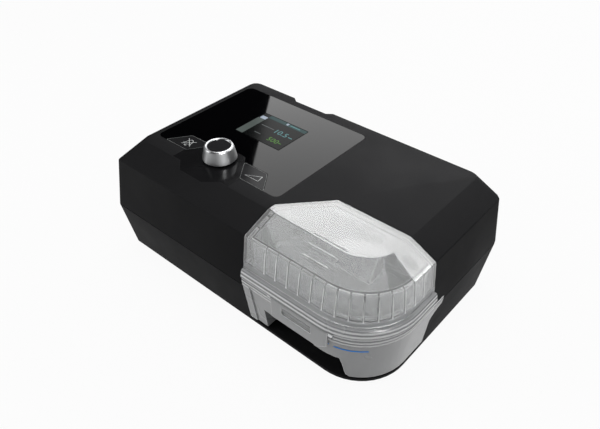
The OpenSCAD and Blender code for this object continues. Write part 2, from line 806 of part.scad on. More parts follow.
module board_screws() {
    color([0.65, 0.65, 0.66]) {
        for (x = [board_left + 5, board_right - 5], y = [board_front + 5, board_back - 5])
            translate([x, y, z_board - board_t]) {
                translate([0, 0, -1.6]) cylinder(r = 2.8, h = 1.6, $fn = soft);
                translate([0, 0, -eps]) cylinder(r = screw_r - 0.05, h = board_t + 6, $fn = soft);
            }
        for (x = [mb_left + 6, mb_right - 6], y = [mb_front + 6, mb_back - 6])
            translate([x, y, z_mb + board_t]) {
                cylinder(r = 2.8, h = 1.6, $fn = soft);
                translate([0, 0, -board_t - 6]) cylinder(r = screw_r - 0.05, h = board_t + 6 + eps, $fn = soft);
            }
    }
}

// ---------------------------------------------------------------- electronics in the base

socket_x = mb_left + 24;
z_socket = z_mb + board_t + 8;

module main_board() {
    color([0.05, 0.3, 0.15]) difference() {
        translate([mb_left, mb_front, z_mb]) cube([mb_right - mb_left, mb_back - mb_front, board_t]);
        floor_posts(z_mb - 1, z_mb + board_t + 1, screw_r + 0.2);
    }
}

module board_parts() {
    z = z_mb + board_t;
    color([0.15, 0.15, 0.18]) {
        // smoothing capacitors
        for (i = [0:2]) translate([mb_left + 50 + i * 14, mb_back - 22, z]) cylinder(r = 5, h = 14, $fn = soft);
        // transformer, processor, connectors
        translate([mb_left + 40, mb_back - 58, z]) cube([22, 18, 16]);
        translate([mb_left + 30, mb_front + 30, z]) cube([14, 14, 1.4]);
        for (i = [0:3]) translate([mb_right - 14, mb_front + 22 + i * 16, z]) cube([8, 11, 7]);
        // flat cable socket under the panel board
        translate([board_right - 40, board_front + 30, z_board - board_t - 5]) cube([24, 6, 5]);
    }
}

module power_socket() {
    color([0.08, 0.08, 0.08]) translate([socket_x, 0, 0]) difference() {
        union() {
            translate([-6.5, mb_back - 9, z_mb + board_t]) cube([13, 12, 14.5]);
            translate([0, mb_back, z_socket]) rotate([-90, 0, 0])
                cylinder(r = 5.5, h = half_d - lean_low_back * 0.62 - mb_back, $fn = fine);
        }
        translate([0, mb_back - 2, z_socket]) rotate([-90, 0, 0]) difference() {
            cylinder(r = 3, h = 30, $fn = fine);
            translate([0, 0, -1]) cylinder(r = 1.05, h = 2 + 8.5, $fn = soft);
        }
    }
}

module card_reader() {
    color([0.7, 0.72, 0.74]) translate([-half_w + 4.8, card_y, z_card]) difference() {
        translate([0, -15, -3]) cube([29, 30, card_t + 4.2]);
        translate([-1, -card_w / 2 - 0.3, -0.3]) cube([27.6, card_w + 0.6, card_t + 0.6]);
    }
}

module memory_card() {
    color([0.1, 0.2, 0.45]) translate([-flange_right, card_y - card_w / 2, z_card])
        linear_extrude(height = card_t) polygon([[0, 0], [card_l - 4, 0], [card_l, 4], [card_l, card_w], [0, card_w]]);
}

// ---------------------------------------------------------------- water chamber

// Outer form of the chamber from the platform to the top, moved in by inset
module chamber_form(inset, low, high, gap = bay_gap) {
    intersection() {
        union() {
            if (low < z_seam) lower_form(inset, z_base, z_seam + eps);
            if (high > z_seam) upper_form(inset, z_seam);
        }
        bay_prism(gap, low, high);
    }
}

// The finger recess in the front of the tub, grown by gap
module finger_recess(grow = 0) {
    y0 = -half_d - 10;
    len = 10 + recess_d + grow;
    translate([recess_left - grow, y0, 0]) difference() {
        translate([0, 0, -1]) cube([recess_w + 2 * grow, len, z_base + recess_h + grow + 1]);
        // right end: nearly upright, flaring out at its foot
        translate([recess_w + 2 * grow, -1, 0]) rotate([-90, 0, 0]) linear_extrude(height = len + 2)
            polygon([[-4.5, -z_base - recess_h - grow - 1], [1, -z_base - recess_h - grow - 1],
                [1, -z_base - 6], [-1.6, -z_base - 8.5], [-2.3, -z_base - 14], [-3, -z_base - 20],
                [-4.5, -z_base - recess_h - grow + 0.8]]);
    }
}

// Body of the tub with the platform inset, without hollow
module tub_solid(inset, low, high) {
    difference() {
        union() {
            chamber_form(inset, low, high, bay_gap + inset);
        }
        finger_recess(inset);
    }
}

// Outline of the case at a height above the underside, moved out by proud
function band_ring(z, proud) =
    let (t = (z - seam_h) / (case_h - front_facet_drop - seam_h),
        lower = blend_ring(base_ring(-proud, z_base), seam_ring(-proud, z_seam), z / seam_h),
        upper = blend_ring(seam_ring(-proud, z_seam), shoulder_ring(-proud), t))
    flat_ring(z > seam_h ? upper : lower, z_base + z);

// Flange under the lid and the two bands below it
module flange_ring() {
    low = rim_h - flange_h;
    intersection() {
        loft([band_ring(low - 3 * band_h, -0.3), band_ring(low - 3 * band_h + 0.5, band_proud * 0.5),
            band_ring(low - 2 * band_h, band_proud * 0.6), band_ring(low - 2 * band_h + 0.5, band_proud),
            band_ring(low - 0.6, band_proud * 1.2), band_ring(low, flange_proud_low),
            band_ring(rim_h - 0.5, flange_proud), band_ring(rim_h, flange_proud - 0.5)]);
        bay_prism(bay_gap, 0, z_top);
    }
}

// Shallow panel on the front of the tub, between its left border and the latch
module front_panel() {
    difference() {
        translate([bay_left, 0, z_base]) rotate([90, 0, 0]) linear_extrude(height = case_d)
            polygon([[panel_border, -2], [panel_border, seam_h + 2.6], [latch_from_left - 1.4, seam_h - 1.7],
                [latch_from_left, seam_h - 9], [latch_from_left + latch_w - 14, seam_h - 13],
                [latch_from_left + latch_w - 14, -2]]);
        union() {
            lower_form(panel_sink, z_base - 1, z_seam + eps);
            upper_form(panel_sink, z_seam);
        }
    }
}

module chamber_tub() {
    color([0.72, 0.73, 0.74, 0.55]) difference() {
        union() {
            tub_solid(0, z_tub + 1.5, z_rim);
            // slightly drawn-in foot above the platform rim
            tub_solid(1.6, z_tub, z_tub + 2);
            flange_ring();
            // guide ear
            intersection() {
                ear_block(0, half_w - ear_w);
                union() {
                    lower_form(0, z_base, z_seam + eps);
                    upper_form(0, z_seam);
                }
            }
        }
        // hollow
        difference() {
            chamber_form(tub_wall, z_tub + 2.6, z_top, bay_gap + tub_wall);
            finger_recess(tub_wall);
        }
        // seat of the metal base plate
        translate([heater_x - heater_w / 2 - 1, heater_y - heater_d / 2 - 1, z_tub - 1])
            cube([heater_w + 2, heater_d + 2, base_plate_t + 1]);
        translate([heater_x - heater_w / 2 + 2, heater_y - heater_d / 2 + 2, z_tub - 1])
            cube([heater_w - 4, heater_d - 4, 10]);
        front_panel();
        // groove of the seal in the rim
        seal_ring(z_rim - 1.2, z_rim + 1, 0);
        latch_pocket();
    }
    // ears that hold the latch pin
    color([0.72, 0.73, 0.74, 0.55]) latch_ears();
}

module seal_ring(low, high, shrink) {
    difference() {
        chamber_form(0.7 + shrink, low, high, bay_gap + 0.7 + shrink);
        chamber_form(1.9 - shrink, low - 1, high + 1, bay_gap + 1.9 - shrink);
    }
}

module tub_seal() {
    color([0.25, 0.25, 0.26]) seal_ring(z_rim - 1.2, z_rim + 0.6, 0.05);
}

module tub_base_plate() {
    color([0.75, 0.76, 0.77]) difference() {
        translate([heater_x - heater_w / 2 - 1, heater_y - heater_d / 2 - 1, z_tub])
            cube([heater_w + 2, heater_d + 2, base_plate_t]);
    }
    color([0.75, 0.76, 0.77]) translate([heater_x - heater_w / 2 + 2.1, heater_y - heater_d / 2 + 2.1, z_tub + base_plate_t - eps])
        cube([heater_w - 4.2, heater_d - 4.2, 1.4]);
}

// Latch: a plate on the front of the tub, hinged at its top edge
latch_left = bay_left + latch_from_left;
z_hinge = z_base + rim_h - flange_h - knuckle_r - 0.8;
latch_front = flange_front + 0.1;
hinge_y = latch_front + knuckle_r;
window_h = 6.5;

module latch_plan(grow = 0) {
    polygon([[latch_left - grow, z_hinge - latch_h - grow], [latch_left + latch_w - 8 + grow / 2, z_hinge - latch_h - grow],
        [latch_left + latch_w + grow, z_hinge - latch_h + 6 - grow / 2], [latch_left + latch_w + grow, z_hinge],
        [latch_left - grow, z_hinge]]);
}

module latch_pocket() {
    // room for the knuckle and the plate
    translate([latch_left - 0.4, -case_d, z_hinge - knuckle_r - 0.4])
        cube([latch_w + 0.8, case_d + hinge_y + knuckle_r + 0.4, 2 * knuckle_r + 0.8]);
    translate([0, latch_front + latch_t + 0.35, 0]) rotate([90, 0, 0]) linear_extrude(height = 40) latch_plan(0.4);
    translate([latch_left - 3.6, hinge_y, z_hinge]) rotate([0, 90, 0])
        cylinder(r = latch_pin_r, h = latch_w + 7.2, $fn = soft);
}

module latch_ears() {
    for (x = [latch_left - 3.6, latch_left + latch_w + 0.6])
        translate([x, hinge_y, z_hinge]) rotate([0, 90, 0]) difference() {
            cylinder(r = knuckle_r, h = 3, $fn = soft);
            translate([0, 0, -1]) cylinder(r = latch_pin_r, h = 6, $fn = soft);
        }
}

module latch_pin() {
    color([0.7, 0.7, 0.72]) translate([latch_left - 3.6, hinge_y, z_hinge]) rotate([0, 90, 0])
        cylinder(r = latch_pin_r, h = latch_w + 7.2, $fn = soft);
}

module lid_latch() {
    color([0.75, 0.76, 0.77, 0.6]) {
        difference() {
            union() {
                translate([latch_left, hinge_y, z_hinge]) rotate([0, 90, 0])
                    cylinder(r = knuckle_r, h = latch_w, $fn = soft);
                translate([0, latch_front + latch_t, 0]) rotate([90, 0, 0]) linear_extrude(height = latch_t) latch_plan(0);
            }
            translate([latch_left - 1, hinge_y, z_hinge]) rotate([0, 90, 0])
                cylinder(r = latch_pin_r + 0.05, h = latch_w + 2, $fn = soft);
            // window over the grip bar
            translate([latch_left + 10, latch_front - 1, z_hinge - knuckle_r - 0.6 - window_h])
                cube([26, latch_t + 0.4, window_h]);
        }
        // grip bar across the window
        translate([latch_left + 9, latch_front + 1, z_hinge - knuckle_r - 2.6]) rotate([0, 90, 0])
            cylinder(r = 0.7, h = 28, $fn = soft);
    }
}

// Plan of the lid at mid height, for its ribs and inner wall
module lid_plan(inset) {
    mid_lean = 0.62;
    points = outline(-half_w, half_w - lean_up_side * mid_lean - inset,
        -half_d + lean_up_front * mid_lean + inset, half_d,
        corner_r - 2.6 * mid_lean - inset, rear_r, front_left_r);
    intersection() {
        polygon(points);
        polygon(bay_points(bay_gap + inset));
    }
}

module rib_lines() {
    front_y = -half_d + lean_up_front;
    corner_x = half_w - corner_r;
    corner_y = -half_d + corner_r;
    front_ribs = floor((corner_x - bay_left - 16) / rib_pitch);
    side_ribs = floor((bay_back - corner_y - 4) / rib_pitch);
    left_ribs = floor((bay_len - bay_cut_len - 8) / rib_pitch);
    for (i = [0:front_ribs])
        translate([corner_x - i * rib_pitch - rib_t / 2, front_y - 10]) square([rib_t, 40]);
    for (i = [1:6])
        translate([corner_x, corner_y]) rotate([0, 0, -90 + i * 90 / 7]) translate([10, -rib_t / 2]) square([50, rib_t]);
    for (i = [0:side_ribs])
        translate([half_w - 30, corner_y + i * rib_pitch - rib_t / 2]) square([40, rib_t]);
    for (i = [1:left_ribs])
        translate([bay_left - 5, front_y + i * rib_pitch]) square([20, rib_t]);
    // along the slanted corner
    for (i = [1:3]) translate([bay_left + i * bay_cut_w / 4, bay_back - bay_cut_len + i * bay_cut_len / 4])
        rotate([0, 0, bay_cut_angle - 90]) translate([-3, -rib_t / 2]) square([20, rib_t]);
}

module chamber_lid() {
    color([0.8, 0.81, 0.82, 0.4]) difference() {
        union() {
            // outer shell
            difference() {
                chamber_form(0, z_lid, z_top + 1);
                chamber_form(lid_t, z_lid - 1, z_top, bay_gap + lid_t);
            }
            // thick rim under the ribs
            difference() {
                chamber_form(0.3, z_lid, z_lid + lid_rim_h, bay_gap + 0.3);
                translate([0, 0, z_lid - 1]) linear_extrude(height = lid_rim_h + 2)
                    lid_plan(rib_depth + lid_t + rib_t);
            }
            // inner wall and ribs
            intersection() {
                translate([0, 0, z_lid + lid_rim_h - 1]) linear_extrude(height = 40) union() {
                    difference() {
                        lid_plan(rib_depth + lid_t);
                        lid_plan(rib_depth + lid_t + rib_t);
                    }
                    intersection() {
                        difference() {
                            lid_plan(0.2);
                            lid_plan(rib_depth + lid_t + rib_t / 2);
                        }
                        rib_lines();
                    }
                }
                chamber_form(lid_t - 0.2, z_lid, z_top + 1);
            }
            // grip bars on the front facet
            grip_bars();
        }
        // inlet and outlet ports in the rear wall
        translate([inlet_x - inlet_w / 2, bay_back - 20, z_inlet - inlet_h / 2]) cube([inlet_w, 25, inlet_h]);
        translate([outlet_x, bay_back - 20, z_outlet]) rotate([-90, 0, 0]) cylinder(r = outlet_r, h = 25, $fn = fine);
    }
}

// Three raised bars on the front facet, shorter towards the front
module grip_bars() {
    centre_x = bay_left + 55.5;
    for (i = [0:2]) {
        back = 1.5 - i * 8.3;
        drop = max(-back, 0) * tan(front_slope);
        len = 29 - i * 4.3;
        translate([centre_x - len / 2, top_front + back, z_top - drop - 0.5]) rotate([0, 90, 0])
            cylinder(r = 1.1, h = len, $fn = soft);
    }
}

// Clear inclined duct that leads the air from the inlet down over the water
module lid_duct() {
    w_top = inlet_w + 3;
    w_low = inlet_w + 12;
    back = bay_back - bay_gap - lid_t - rib_depth - rib_t;
    front = back - 22;
    z_low = z_lid + 4;
    z_high = z_inlet + inlet_h / 2 + 1.5;
    thin = 1.5;
    color([0.85, 0.87, 0.88, 0.35]) difference() {
        intersection() {
            duct_block(w_top, w_low, back, front, z_low, z_high, 0);
            translate([0, 0, z_low - 1]) linear_extrude(height = 40) lid_plan(rib_depth + lid_t + rib_t);
        }
        duct_block(w_top, w_low, back + 1, front, z_low - 2, z_high, thin);
    }
}

module duct_block(w_top, w_low, back, front, z_low, z_high, inset) {
    depth = inlet_h + 3;
    hull() {
        translate([inlet_x - w_top / 2 + inset, back - 1, z_high - depth + inset])
            cube([w_top - 2 * inset, 1, depth - 2 * inset]);
        translate([inlet_x - w_low / 2 + inset, front + inset, z_low])
            cube([w_low - 2 * inset, depth - 2 * inset, 1]);
    }
}

// ---------------------------------------------------------------- heater

z_heater = z_base + 1.2;

module heater_plate() {
    color([0.7, 0.71, 0.72]) translate([heater_x - heater_w / 2 + 1.5, heater_y - heater_d / 2 + 1.5, z_heater])
        cube([heater_w - 3, heater_d - 3, z_tub - 0.3 - z_heater]);
}

module heater_seal() {
    color([0.15, 0.15, 0.16]) difference() {
        translate([heater_x - heater_w / 2, heater_y - heater_d / 2, z_platform - 1.2])
            cube([heater_w, heater_d, 1.2]);
        translate([heater_x - heater_w / 2 + 1.5, heater_y - heater_d / 2 + 1.5, z_platform - 3])
            cube([heater_w - 3, heater_d - 3, 6]);
    }
}

module inlet_bellows() {
    color([0.22, 0.22, 0.23]) translate([inlet_x, bay_back - bay_gap + 0.3, z_inlet]) difference() {
        union() {
            translate([-inlet_w / 2 - 3, 0, -inlet_h / 2 - 3]) cube([inlet_w + 6, bay_wall + bay_gap - 0.3 + 0.4, inlet_h + 6]);
        }
        translate([-inlet_w / 2, -1, -inlet_h / 2]) cube([inlet_w, 20, inlet_h]);
    }
}

module outlet_bellows() {
    color([0.22, 0.22, 0.23]) translate([outlet_x, bay_back - bay_gap + 0.3, z_outlet]) rotate([-90, 0, 0])
        difference() {
            cylinder(r = outlet_r + 3, h = bay_wall + bay_gap - 0.3 + 0.4, $fn = fine);
            translate([0, 0, -1]) cylinder(r = outlet_r, h = 20, $fn = fine);
        }
}

// ---------------------------------------------------------------- blower and ducts

module blower_posts(low, high, r) {
    for (a = mount_angles) translate([blower_x + (blower_r + 2) * cos(a), blower_y + (blower_r + 2) * sin(a), low])
        cylinder(r = r, h = high - low, $fn = soft);
}

module volute(low, high, grow) {
    translate([blower_x, blower_y, low]) cylinder(r = blower_r + grow, h = high - low, $fn = fine);
    // tangential outlet on the left, running forward
    translate([blower_x - blower_r - grow, plenum_back, low])
        cube([volute_w + 2 * grow, blower_y - plenum_back, high - low]);
}

module blower_lower_case() {
    color([0.2, 0.2, 0.21]) difference() {
        union() {
            volute(z_blower, z_blower + blower_split, 0);
            // ears over the rubber mounts
            for (a = mount_angles) translate([blower_x + (blower_r + 2) * cos(a), blower_y + (blower_r + 2) * sin(a), z_blower])
                cylinder(r = 5, h = 3, $fn = soft);
        }
        volute_hollow(z_blower + blower_wall, z_blower + blower_split + 1);
        translate([blower_x, blower_y, z_blower - 1]) cylinder(r = 12, h = 5, $fn = fine);
        for (a = mount_angles) translate([blower_x + (blower_r + 2) * cos(a), blower_y + (blower_r + 2) * sin(a), z_blower - 1])
            cylinder(r = 2, h = 5, $fn = soft);
    }
}

module volute_hollow(low, high) {
    translate([blower_x, blower_y, low]) cylinder(r = blower_r - blower_wall, h = high - low, $fn = fine);
    translate([blower_x - blower_r + blower_wall, bay_back, low])
        cube([volute_w - 2 * blower_wall, blower_y - bay_back, high - low]);
}

module blower_upper_case() {
    low = z_blower + blower_split;
    high = z_blower + blower_h;
    color([0.2, 0.2, 0.21]) difference() {
        volute(low, high, 0);
        volute_hollow(low - 1, high - blower_wall);
        translate([blower_x, blower_y, low]) cylinder(r = motor_shaft_r + 1, h = 40, $fn = soft);
    }
}

module impeller() {
    color([0.85, 0.85, 0.86]) translate([blower_x, blower_y, z_impeller]) difference() {
        union() {
            translate([0, 0, impeller_h - 1.5]) cylinder(r = impeller_r, h = 1.5, $fn = fine);
            cylinder(r = 4.5, h = impeller_h, $fn = soft);
            for (i = [0:blades - 1]) rotate([0, 0, i * 360 / blades])
                linear_extrude(height = impeller_h - 1) intersection() {
                    circle(r = impeller_r, $fn = fine);
                    translate([impeller_r * 0.5, impeller_r * 0.72]) difference() {
                        circle(r = impeller_r * 0.78, $fn = soft);
                        circle(r = impeller_r * 0.78 - 1.2, $fn = soft);
                        translate([-2.4 * impeller_r, -2.4 * impeller_r])
                            square([4.8 * impeller_r, 2.08 * impeller_r]);
                        translate([-5.22 * impeller_r, -2.4 * impeller_r])
                            square([4.8 * impeller_r, 4.8 * impeller_r]);
                    }
                }
        }
        translate([0, 0, -1]) cylinder(r = motor_shaft_r, h = impeller_h + 2, $fn = soft);
    }
}

module motor_shaft() {
    color([0.7, 0.7, 0.72]) translate([blower_x, blower_y, z_impeller])
        cylinder(r = motor_shaft_r, h = z_blower + blower_h + 10 - z_impeller, $fn = soft);
}

module blower_motor() {
    color([0.3, 0.3, 0.32]) translate([blower_x, blower_y, z_blower + blower_h]) difference() {
        union() {
            cylinder(r = motor_r, h = motor_h, $fn = fine);
            cylinder(r = motor_r + 3, h = 2, $fn = fine);
        }
        translate([0, 0, -1]) cylinder(r = motor_shaft_r + 0.06, h = 11.4, $fn = soft);
    }
}

module blower_mounts() {
    color([0.3, 0.3, 0.3]) for (a = mount_angles)
        translate([blower_x + (blower_r + 2) * cos(a), blower_y + (blower_r + 2) * sin(a), z_floor + 3]) {
            cylinder(r = 4, h = z_blower - z_floor - 3, $fn = soft);
            cylinder(r = 1.9, h = z_blower - z_floor + 1, $fn = soft);
        }
}

module air_plenum() {
    left = min(inlet_x - inlet_w / 2 - 4, blower_x - blower_r);
    width = inlet_x + inlet_w / 2 + 4 - left;
    front = plenum_front;
    depth = plenum_d;
    low = z_blower;
    high = z_inlet + inlet_h / 2 + 4;
    thin = 1.8;
    color([0.18, 0.18, 0.19]) difference() {
        translate([left, front, low]) cube([width, depth, high - low]);
        translate([left + thin, front + thin, low + thin]) cube([width - 2 * thin, depth - 2 * thin, high - low - 2 * thin]);
        translate([inlet_x - inlet_w / 2, front - 1, z_inlet - inlet_h / 2]) cube([inlet_w, 5, inlet_h]);
        translate([blower_x - blower_r + blower_wall, front + depth - 3, z_blower + blower_wall])
            cube([volute_w - 2 * blower_wall, 6, blower_h - 2 * blower_wall]);
    }
}

// Duct from the chamber back to the hose port: one flat S of pipe, tilted to fall towards the port
bend_r = 16;
return_y = port_root - 2 - bend_r;
duct_start_y = plenum_front;
duct_tilt = atan((z_outlet - z_port) / (outlet_x - port_x));
duct_run = norm([outlet_x - port_x, z_outlet - z_port]);

module return_path(r, extra) {
    first = return_y - duct_start_y - bend_r;
    translate([outlet_x, duct_start_y, z_outlet]) rotate([0, -duct_tilt, 0]) {
        translate([0, -extra, 0]) rotate([-90, 0, 0]) cylinder(r = r, h = first + extra, $fn = fine);
        translate([-bend_r, first, 0]) rotate_extrude(angle = 90, $fn = 96) translate([bend_r, 0]) circle(r = r, $fn = fine);
        translate([-bend_r, first + bend_r, 0]) rotate([0, -90, 0]) cylinder(r = r, h = duct_run - 2 * bend_r, $fn = fine);
        translate([-duct_run + bend_r, first + 2 * bend_r, 0]) rotate([0, 0, 180])
            rotate_extrude(angle = 90, $fn = 96) translate([bend_r, 0]) circle(r = r, $fn = fine);
        if (extra > 0) translate([-duct_run, first + 2 * bend_r - eps, 0]) rotate([-90, 0, 0])
            cylinder(r = r, h = extra, $fn = fine);
    }
}

module return_duct() {
    color([0.2, 0.2, 0.21]) difference() {
        return_path(duct_r, 0);
        return_path(duct_r - 1.5, 1);
    }
}

module outlet_port() {
    color([0.15, 0.15, 0.16]) translate([port_x, 0, z_port]) rotate([-90, 0, 0]) difference() {
        union() {
            translate([0, 0, port_root]) cylinder(r = port_r, h = port_mouth - port_root, $fn = fine);
            translate([0, 0, port_root - 2]) cylinder(r = port_root_r, h = 2 + port_seal_t, $fn = fine);
        }
        translate([0, 0, port_root - 5]) cylinder(r = port_bore_r, h = 60, $fn = fine);
    }
}

module port_seal() {
    color([0.3, 0.3, 0.3]) translate([port_x, port_root, z_port]) rotate([-90, 0, 0]) difference() {
        cylinder(r = port_root_r + 2.2, h = port_seal_t, $fn = fine);
        translate([0, 0, -1]) cylinder(r = port_root_r, h = 5, $fn = fine);
    }
}

module filter_cover() {
    color([0.13, 0.13, 0.14]) difference() {
        union() {
            translate([filter_x - filter_w / 2 + 0.3, filter_y - 3, filter_z + 0.3]) cube([filter_w - 0.6, 3.2, filter_h - 0.6]);
            // side clips
            for (s = [-1, 1]) translate([filter_x + s * (filter_w / 2 - 1.5) - 1, filter_y - 9, filter_z + 8])
                cube([2, 7, filter_h - 16]);
        }
        for (i = [-4:4]) translate([filter_x + i * 5 - 1.25, filter_y - 5, filter_z + 4]) cube([2.5, 20, filter_h - 8]);
    }
}

module filter_pad() {
    color([0.85, 0.85, 0.83]) translate([filter_x - filter_w / 2 + 2.5, filter_y - filter_depth + 0.4, filter_z + 0.4])
        cube([filter_w - 5, filter_depth - 3.4, filter_h - 0.8]);
}

module noise_foam() {
    color([0.25, 0.25, 0.26]) difference() {
        translate([bay_left + 5, bay_back + 24, z_floor]) cube([blower_x - blower_r - bay_left - 10, foam_len, foam_h]);
        for (i = [0:3]) translate([bay_left + 4, bay_back + 29 + i * 10, z_floor + foam_h - 8]) cube([case_w / 4, 5, 20]);
    }
}

upper_housing();
lower_housing();
panel_glass();
display_module();
mute_key();
ramp_key();
key_switches();
control_knob();
knob_cap();
encoder_shaft();
push_sleeve();
encoder_body();
control_board();
board_screws();
main_board();
board_parts();
card_reader();
memory_card();
power_socket();
chamber_tub();
tub_base_plate();
tub_seal();
chamber_lid();
lid_duct();
lid_latch();
latch_pin();
heater_plate();
heater_seal();
inlet_bellows();
outlet_bellows();
blower_lower_case();
blower_upper_case();
impeller();
motor_shaft();
blower_motor();
blower_mounts();
air_plenum();
return_duct();
outlet_port();
port_seal();
filter_cover();
filter_pad();
noise_foam();
rubber_feet();
case_screws();
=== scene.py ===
# %% [markdown]
# # A bedside breathing machine
#
# The machine is a low black case with a glass control panel, a turning knob,
# two touch keys and a clear water chamber in its front right corner. Every
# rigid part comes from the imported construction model, so this lesson only
# smooths those parts, gives each one the finish of its real material, adds
# the printed and lit marks, and sets up a plain studio.

# %% Load the frame
import json
import math
import bpy
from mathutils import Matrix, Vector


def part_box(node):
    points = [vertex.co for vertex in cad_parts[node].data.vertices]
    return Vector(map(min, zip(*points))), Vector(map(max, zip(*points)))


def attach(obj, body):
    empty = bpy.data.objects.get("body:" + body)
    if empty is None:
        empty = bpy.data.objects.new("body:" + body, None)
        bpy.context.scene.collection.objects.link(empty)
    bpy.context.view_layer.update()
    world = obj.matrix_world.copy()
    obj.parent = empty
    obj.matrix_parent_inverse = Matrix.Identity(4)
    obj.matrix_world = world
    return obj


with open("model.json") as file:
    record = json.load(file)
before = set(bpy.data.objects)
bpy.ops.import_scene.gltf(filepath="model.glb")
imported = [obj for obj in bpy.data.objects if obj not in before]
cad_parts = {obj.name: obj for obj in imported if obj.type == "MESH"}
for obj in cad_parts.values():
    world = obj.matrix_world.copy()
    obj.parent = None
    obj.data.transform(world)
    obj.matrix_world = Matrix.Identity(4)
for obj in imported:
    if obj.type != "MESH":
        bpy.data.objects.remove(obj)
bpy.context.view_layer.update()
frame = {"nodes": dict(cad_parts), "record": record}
nodes = frame["nodes"]
print(len(nodes), "construction parts loaded")

# %% [markdown]
# ## Units and colours
#
# Drawings of such a machine are in millimetres and Blender works in metres,
# so lengths are written in millimetres and multiplied by MM. Colours are
# picked from screens as sRGB hex values, but shaders add light in linear
# values, so one function turns the first into the second.

# %% Units and colours
MM = 0.001


def colour(hex_value, alpha=1.0):
    channels = [int(hex_value[i:i + 2], 16) / 255 for i in (1, 3, 5)]
    linear = [c / 12.92 if c <= 0.04045 else ((c + 0.055) / 1.055) ** 2.4
              for c in channels]
    return (*linear, alpha)


print("mid grey in linear light:", round(colour("#808080")[0], 3))

# %% [markdown]
# ## Helpers for materials
#
# A material is a small graph of nodes. One function adds a node, sets its
# options and values and links its inputs. A second one starts a material with
# a Principled shader and the coordinates of the object, in metres. The others
# each add one kind of node and hand back its result, so a finish reads as a
# few short lines: spread a value over a range, do a sum, mix two values or
# two colours, draw noise in cells of a size in millimetres, or emboss.

# %% Helpers for materials


def add_node(tree, kind, inputs=None, **options):
    node = tree.nodes.new(kind)
    for name, value in options.items():
        setattr(node, name, value)
    for socket, value in (inputs or {}).items():
        if isinstance(value, bpy.types.NodeSocket):
            tree.links.new(value, node.inputs[socket])
        else:
            node.inputs[socket].default_value = value
    return node


def start_material(name, **shader_values):
    material = bpy.data.materials.new(name)
    material.use_nodes = True
    tree = material.node_tree
    tree.nodes.clear()
    inputs = {key.replace("_", " "): value for key, value in shader_values.items()}
    shader = add_node(tree, "ShaderNodeBsdfPrincipled", inputs)
    add_node(tree, "ShaderNodeOutputMaterial", {"Surface": shader.outputs["BSDF"]})
    place = add_node(tree, "ShaderNodeTexCoord").outputs["Object"]
    return material, tree, shader, place


def surface_of(tree):
    output = next(node for node in tree.nodes if node.type == "OUTPUT_MATERIAL")
    return output.inputs["Surface"]


def cells_per_metre(size_mm):
    return 1 / (size_mm * MM)


def remap(tree, value, from_low, from_high, to_low=0.0, to_high=1.0):
    spread = add_node(tree, "ShaderNodeMapRange",
                      {"Value": value, "From Min": from_low, "From Max": from_high,
                       "To Min": to_low, "To Max": to_high})
    return spread.outputs["Result"]


def calculate(tree, operation, *values):
    node = add_node(tree, "ShaderNodeMath", dict(enumerate(values)), operation=operation)
    return node.outputs[0]


def mix_values(tree, share, first, second):
    node = add_node(tree, "ShaderNodeMix", {0: share, 2: first, 3: second},
                    data_type="FLOAT")
    return node.outputs[0]


def mix_colours(tree, share, first, second):
    node = add_node(tree, "ShaderNodeMix", {0: share, 6: first, 7: second},
                    data_type="RGBA")
    return node.outputs[2]


def noise(tree, place, cell_mm, detail, distortion=0.0):
    node = add_node(tree, "ShaderNodeTexNoise",
                    {"Vector": place, "Scale": cells_per_metre(cell_mm),
                     "Detail": detail, "Distortion": distortion})
    return node.outputs["Fac"]


def soft_edge(tree, radius_mm):
    bevel = add_node(tree, "ShaderNodeBevel", {"Radius": radius_mm * MM}, samples=6)
    return bevel.outputs["Normal"]


def emboss(tree, shader, height, depth_mm, strength=1.0, rounded=None):
    inputs = {"Height": height, "Strength": strength, "Distance": depth_mm * MM}
    if rounded is not None:
        inputs["Normal"] = rounded
    bump = add_node(tree, "ShaderNodeBump", inputs)
    tree.links.new(bump.outputs["Normal"], shader.inputs["Normal"])


NOISE_LOW, NOISE_HIGH = 0.3, 0.7


def vary(tree, source, socket, low, high):
    tree.links.new(remap(tree, source, NOISE_LOW, NOISE_HIGH, low, high), socket)


EDGE_ROUND = 0.35


def add_grain(tree, shader, place, grain_mm, depth_mm):
    grain = noise(tree, place, grain_mm, 3.0)
    emboss(tree, shader, grain, depth_mm, rounded=soft_edge(tree, EDGE_ROUND))
    return grain


print("material helpers ready")

# %% [markdown]
# ## The case plastic
#
# The two case halves are injection moulded in a polycarbonate and ABS blend,
# in a tool that was spark eroded, so the skin has a fine even grain that
# spreads every highlight. The real grain is about 0.1 mm, too fine for this
# picture, so it is drawn at 0.5 mm and very shallow. Handling polishes it a
# little, which a slow noise in the roughness gives. The skin mirrors very
# little, so the walls stay black and only the white floor lightens them.

# %% Moulded case plastic
WEAR_CELL = 38.0
WEAR_SPREAD = 0.05


def moulded_plastic(name, hex_value, roughness, grain_mm=0.5, depth_mm=0.012,
                    shine=0.1):
    material, tree, shader, place = start_material(
        name, Base_Color=colour(hex_value), Roughness=roughness, IOR=1.5,
        Specular_IOR_Level=shine)
    add_grain(tree, shader, place, grain_mm, depth_mm)
    vary(tree, noise(tree, place, WEAR_CELL, 4.0), shader.inputs["Roughness"],
         roughness - WEAR_SPREAD, roughness + WEAR_SPREAD)
    return material


case_plastic = moulded_plastic("case_plastic_spark_textured", "#1a1a1b", 0.5, shine=0.021)
base_plastic = moulded_plastic("base_plastic_spark_textured", "#1c1c1d", 0.52, shine=0.016)
inner_plastic = moulded_plastic("inner_plastic_moulded", "#37373a", 0.5)
parts_plastic = moulded_plastic("component_plastic_moulded", "#1b1b1d", 0.5)
card_plastic = moulded_plastic("memory_card_plastic", "#1a2b52", 0.4)
impeller_plastic = moulded_plastic("impeller_nylon_moulded", "#dcdcda", 0.4)
print("moulded plastics ready")

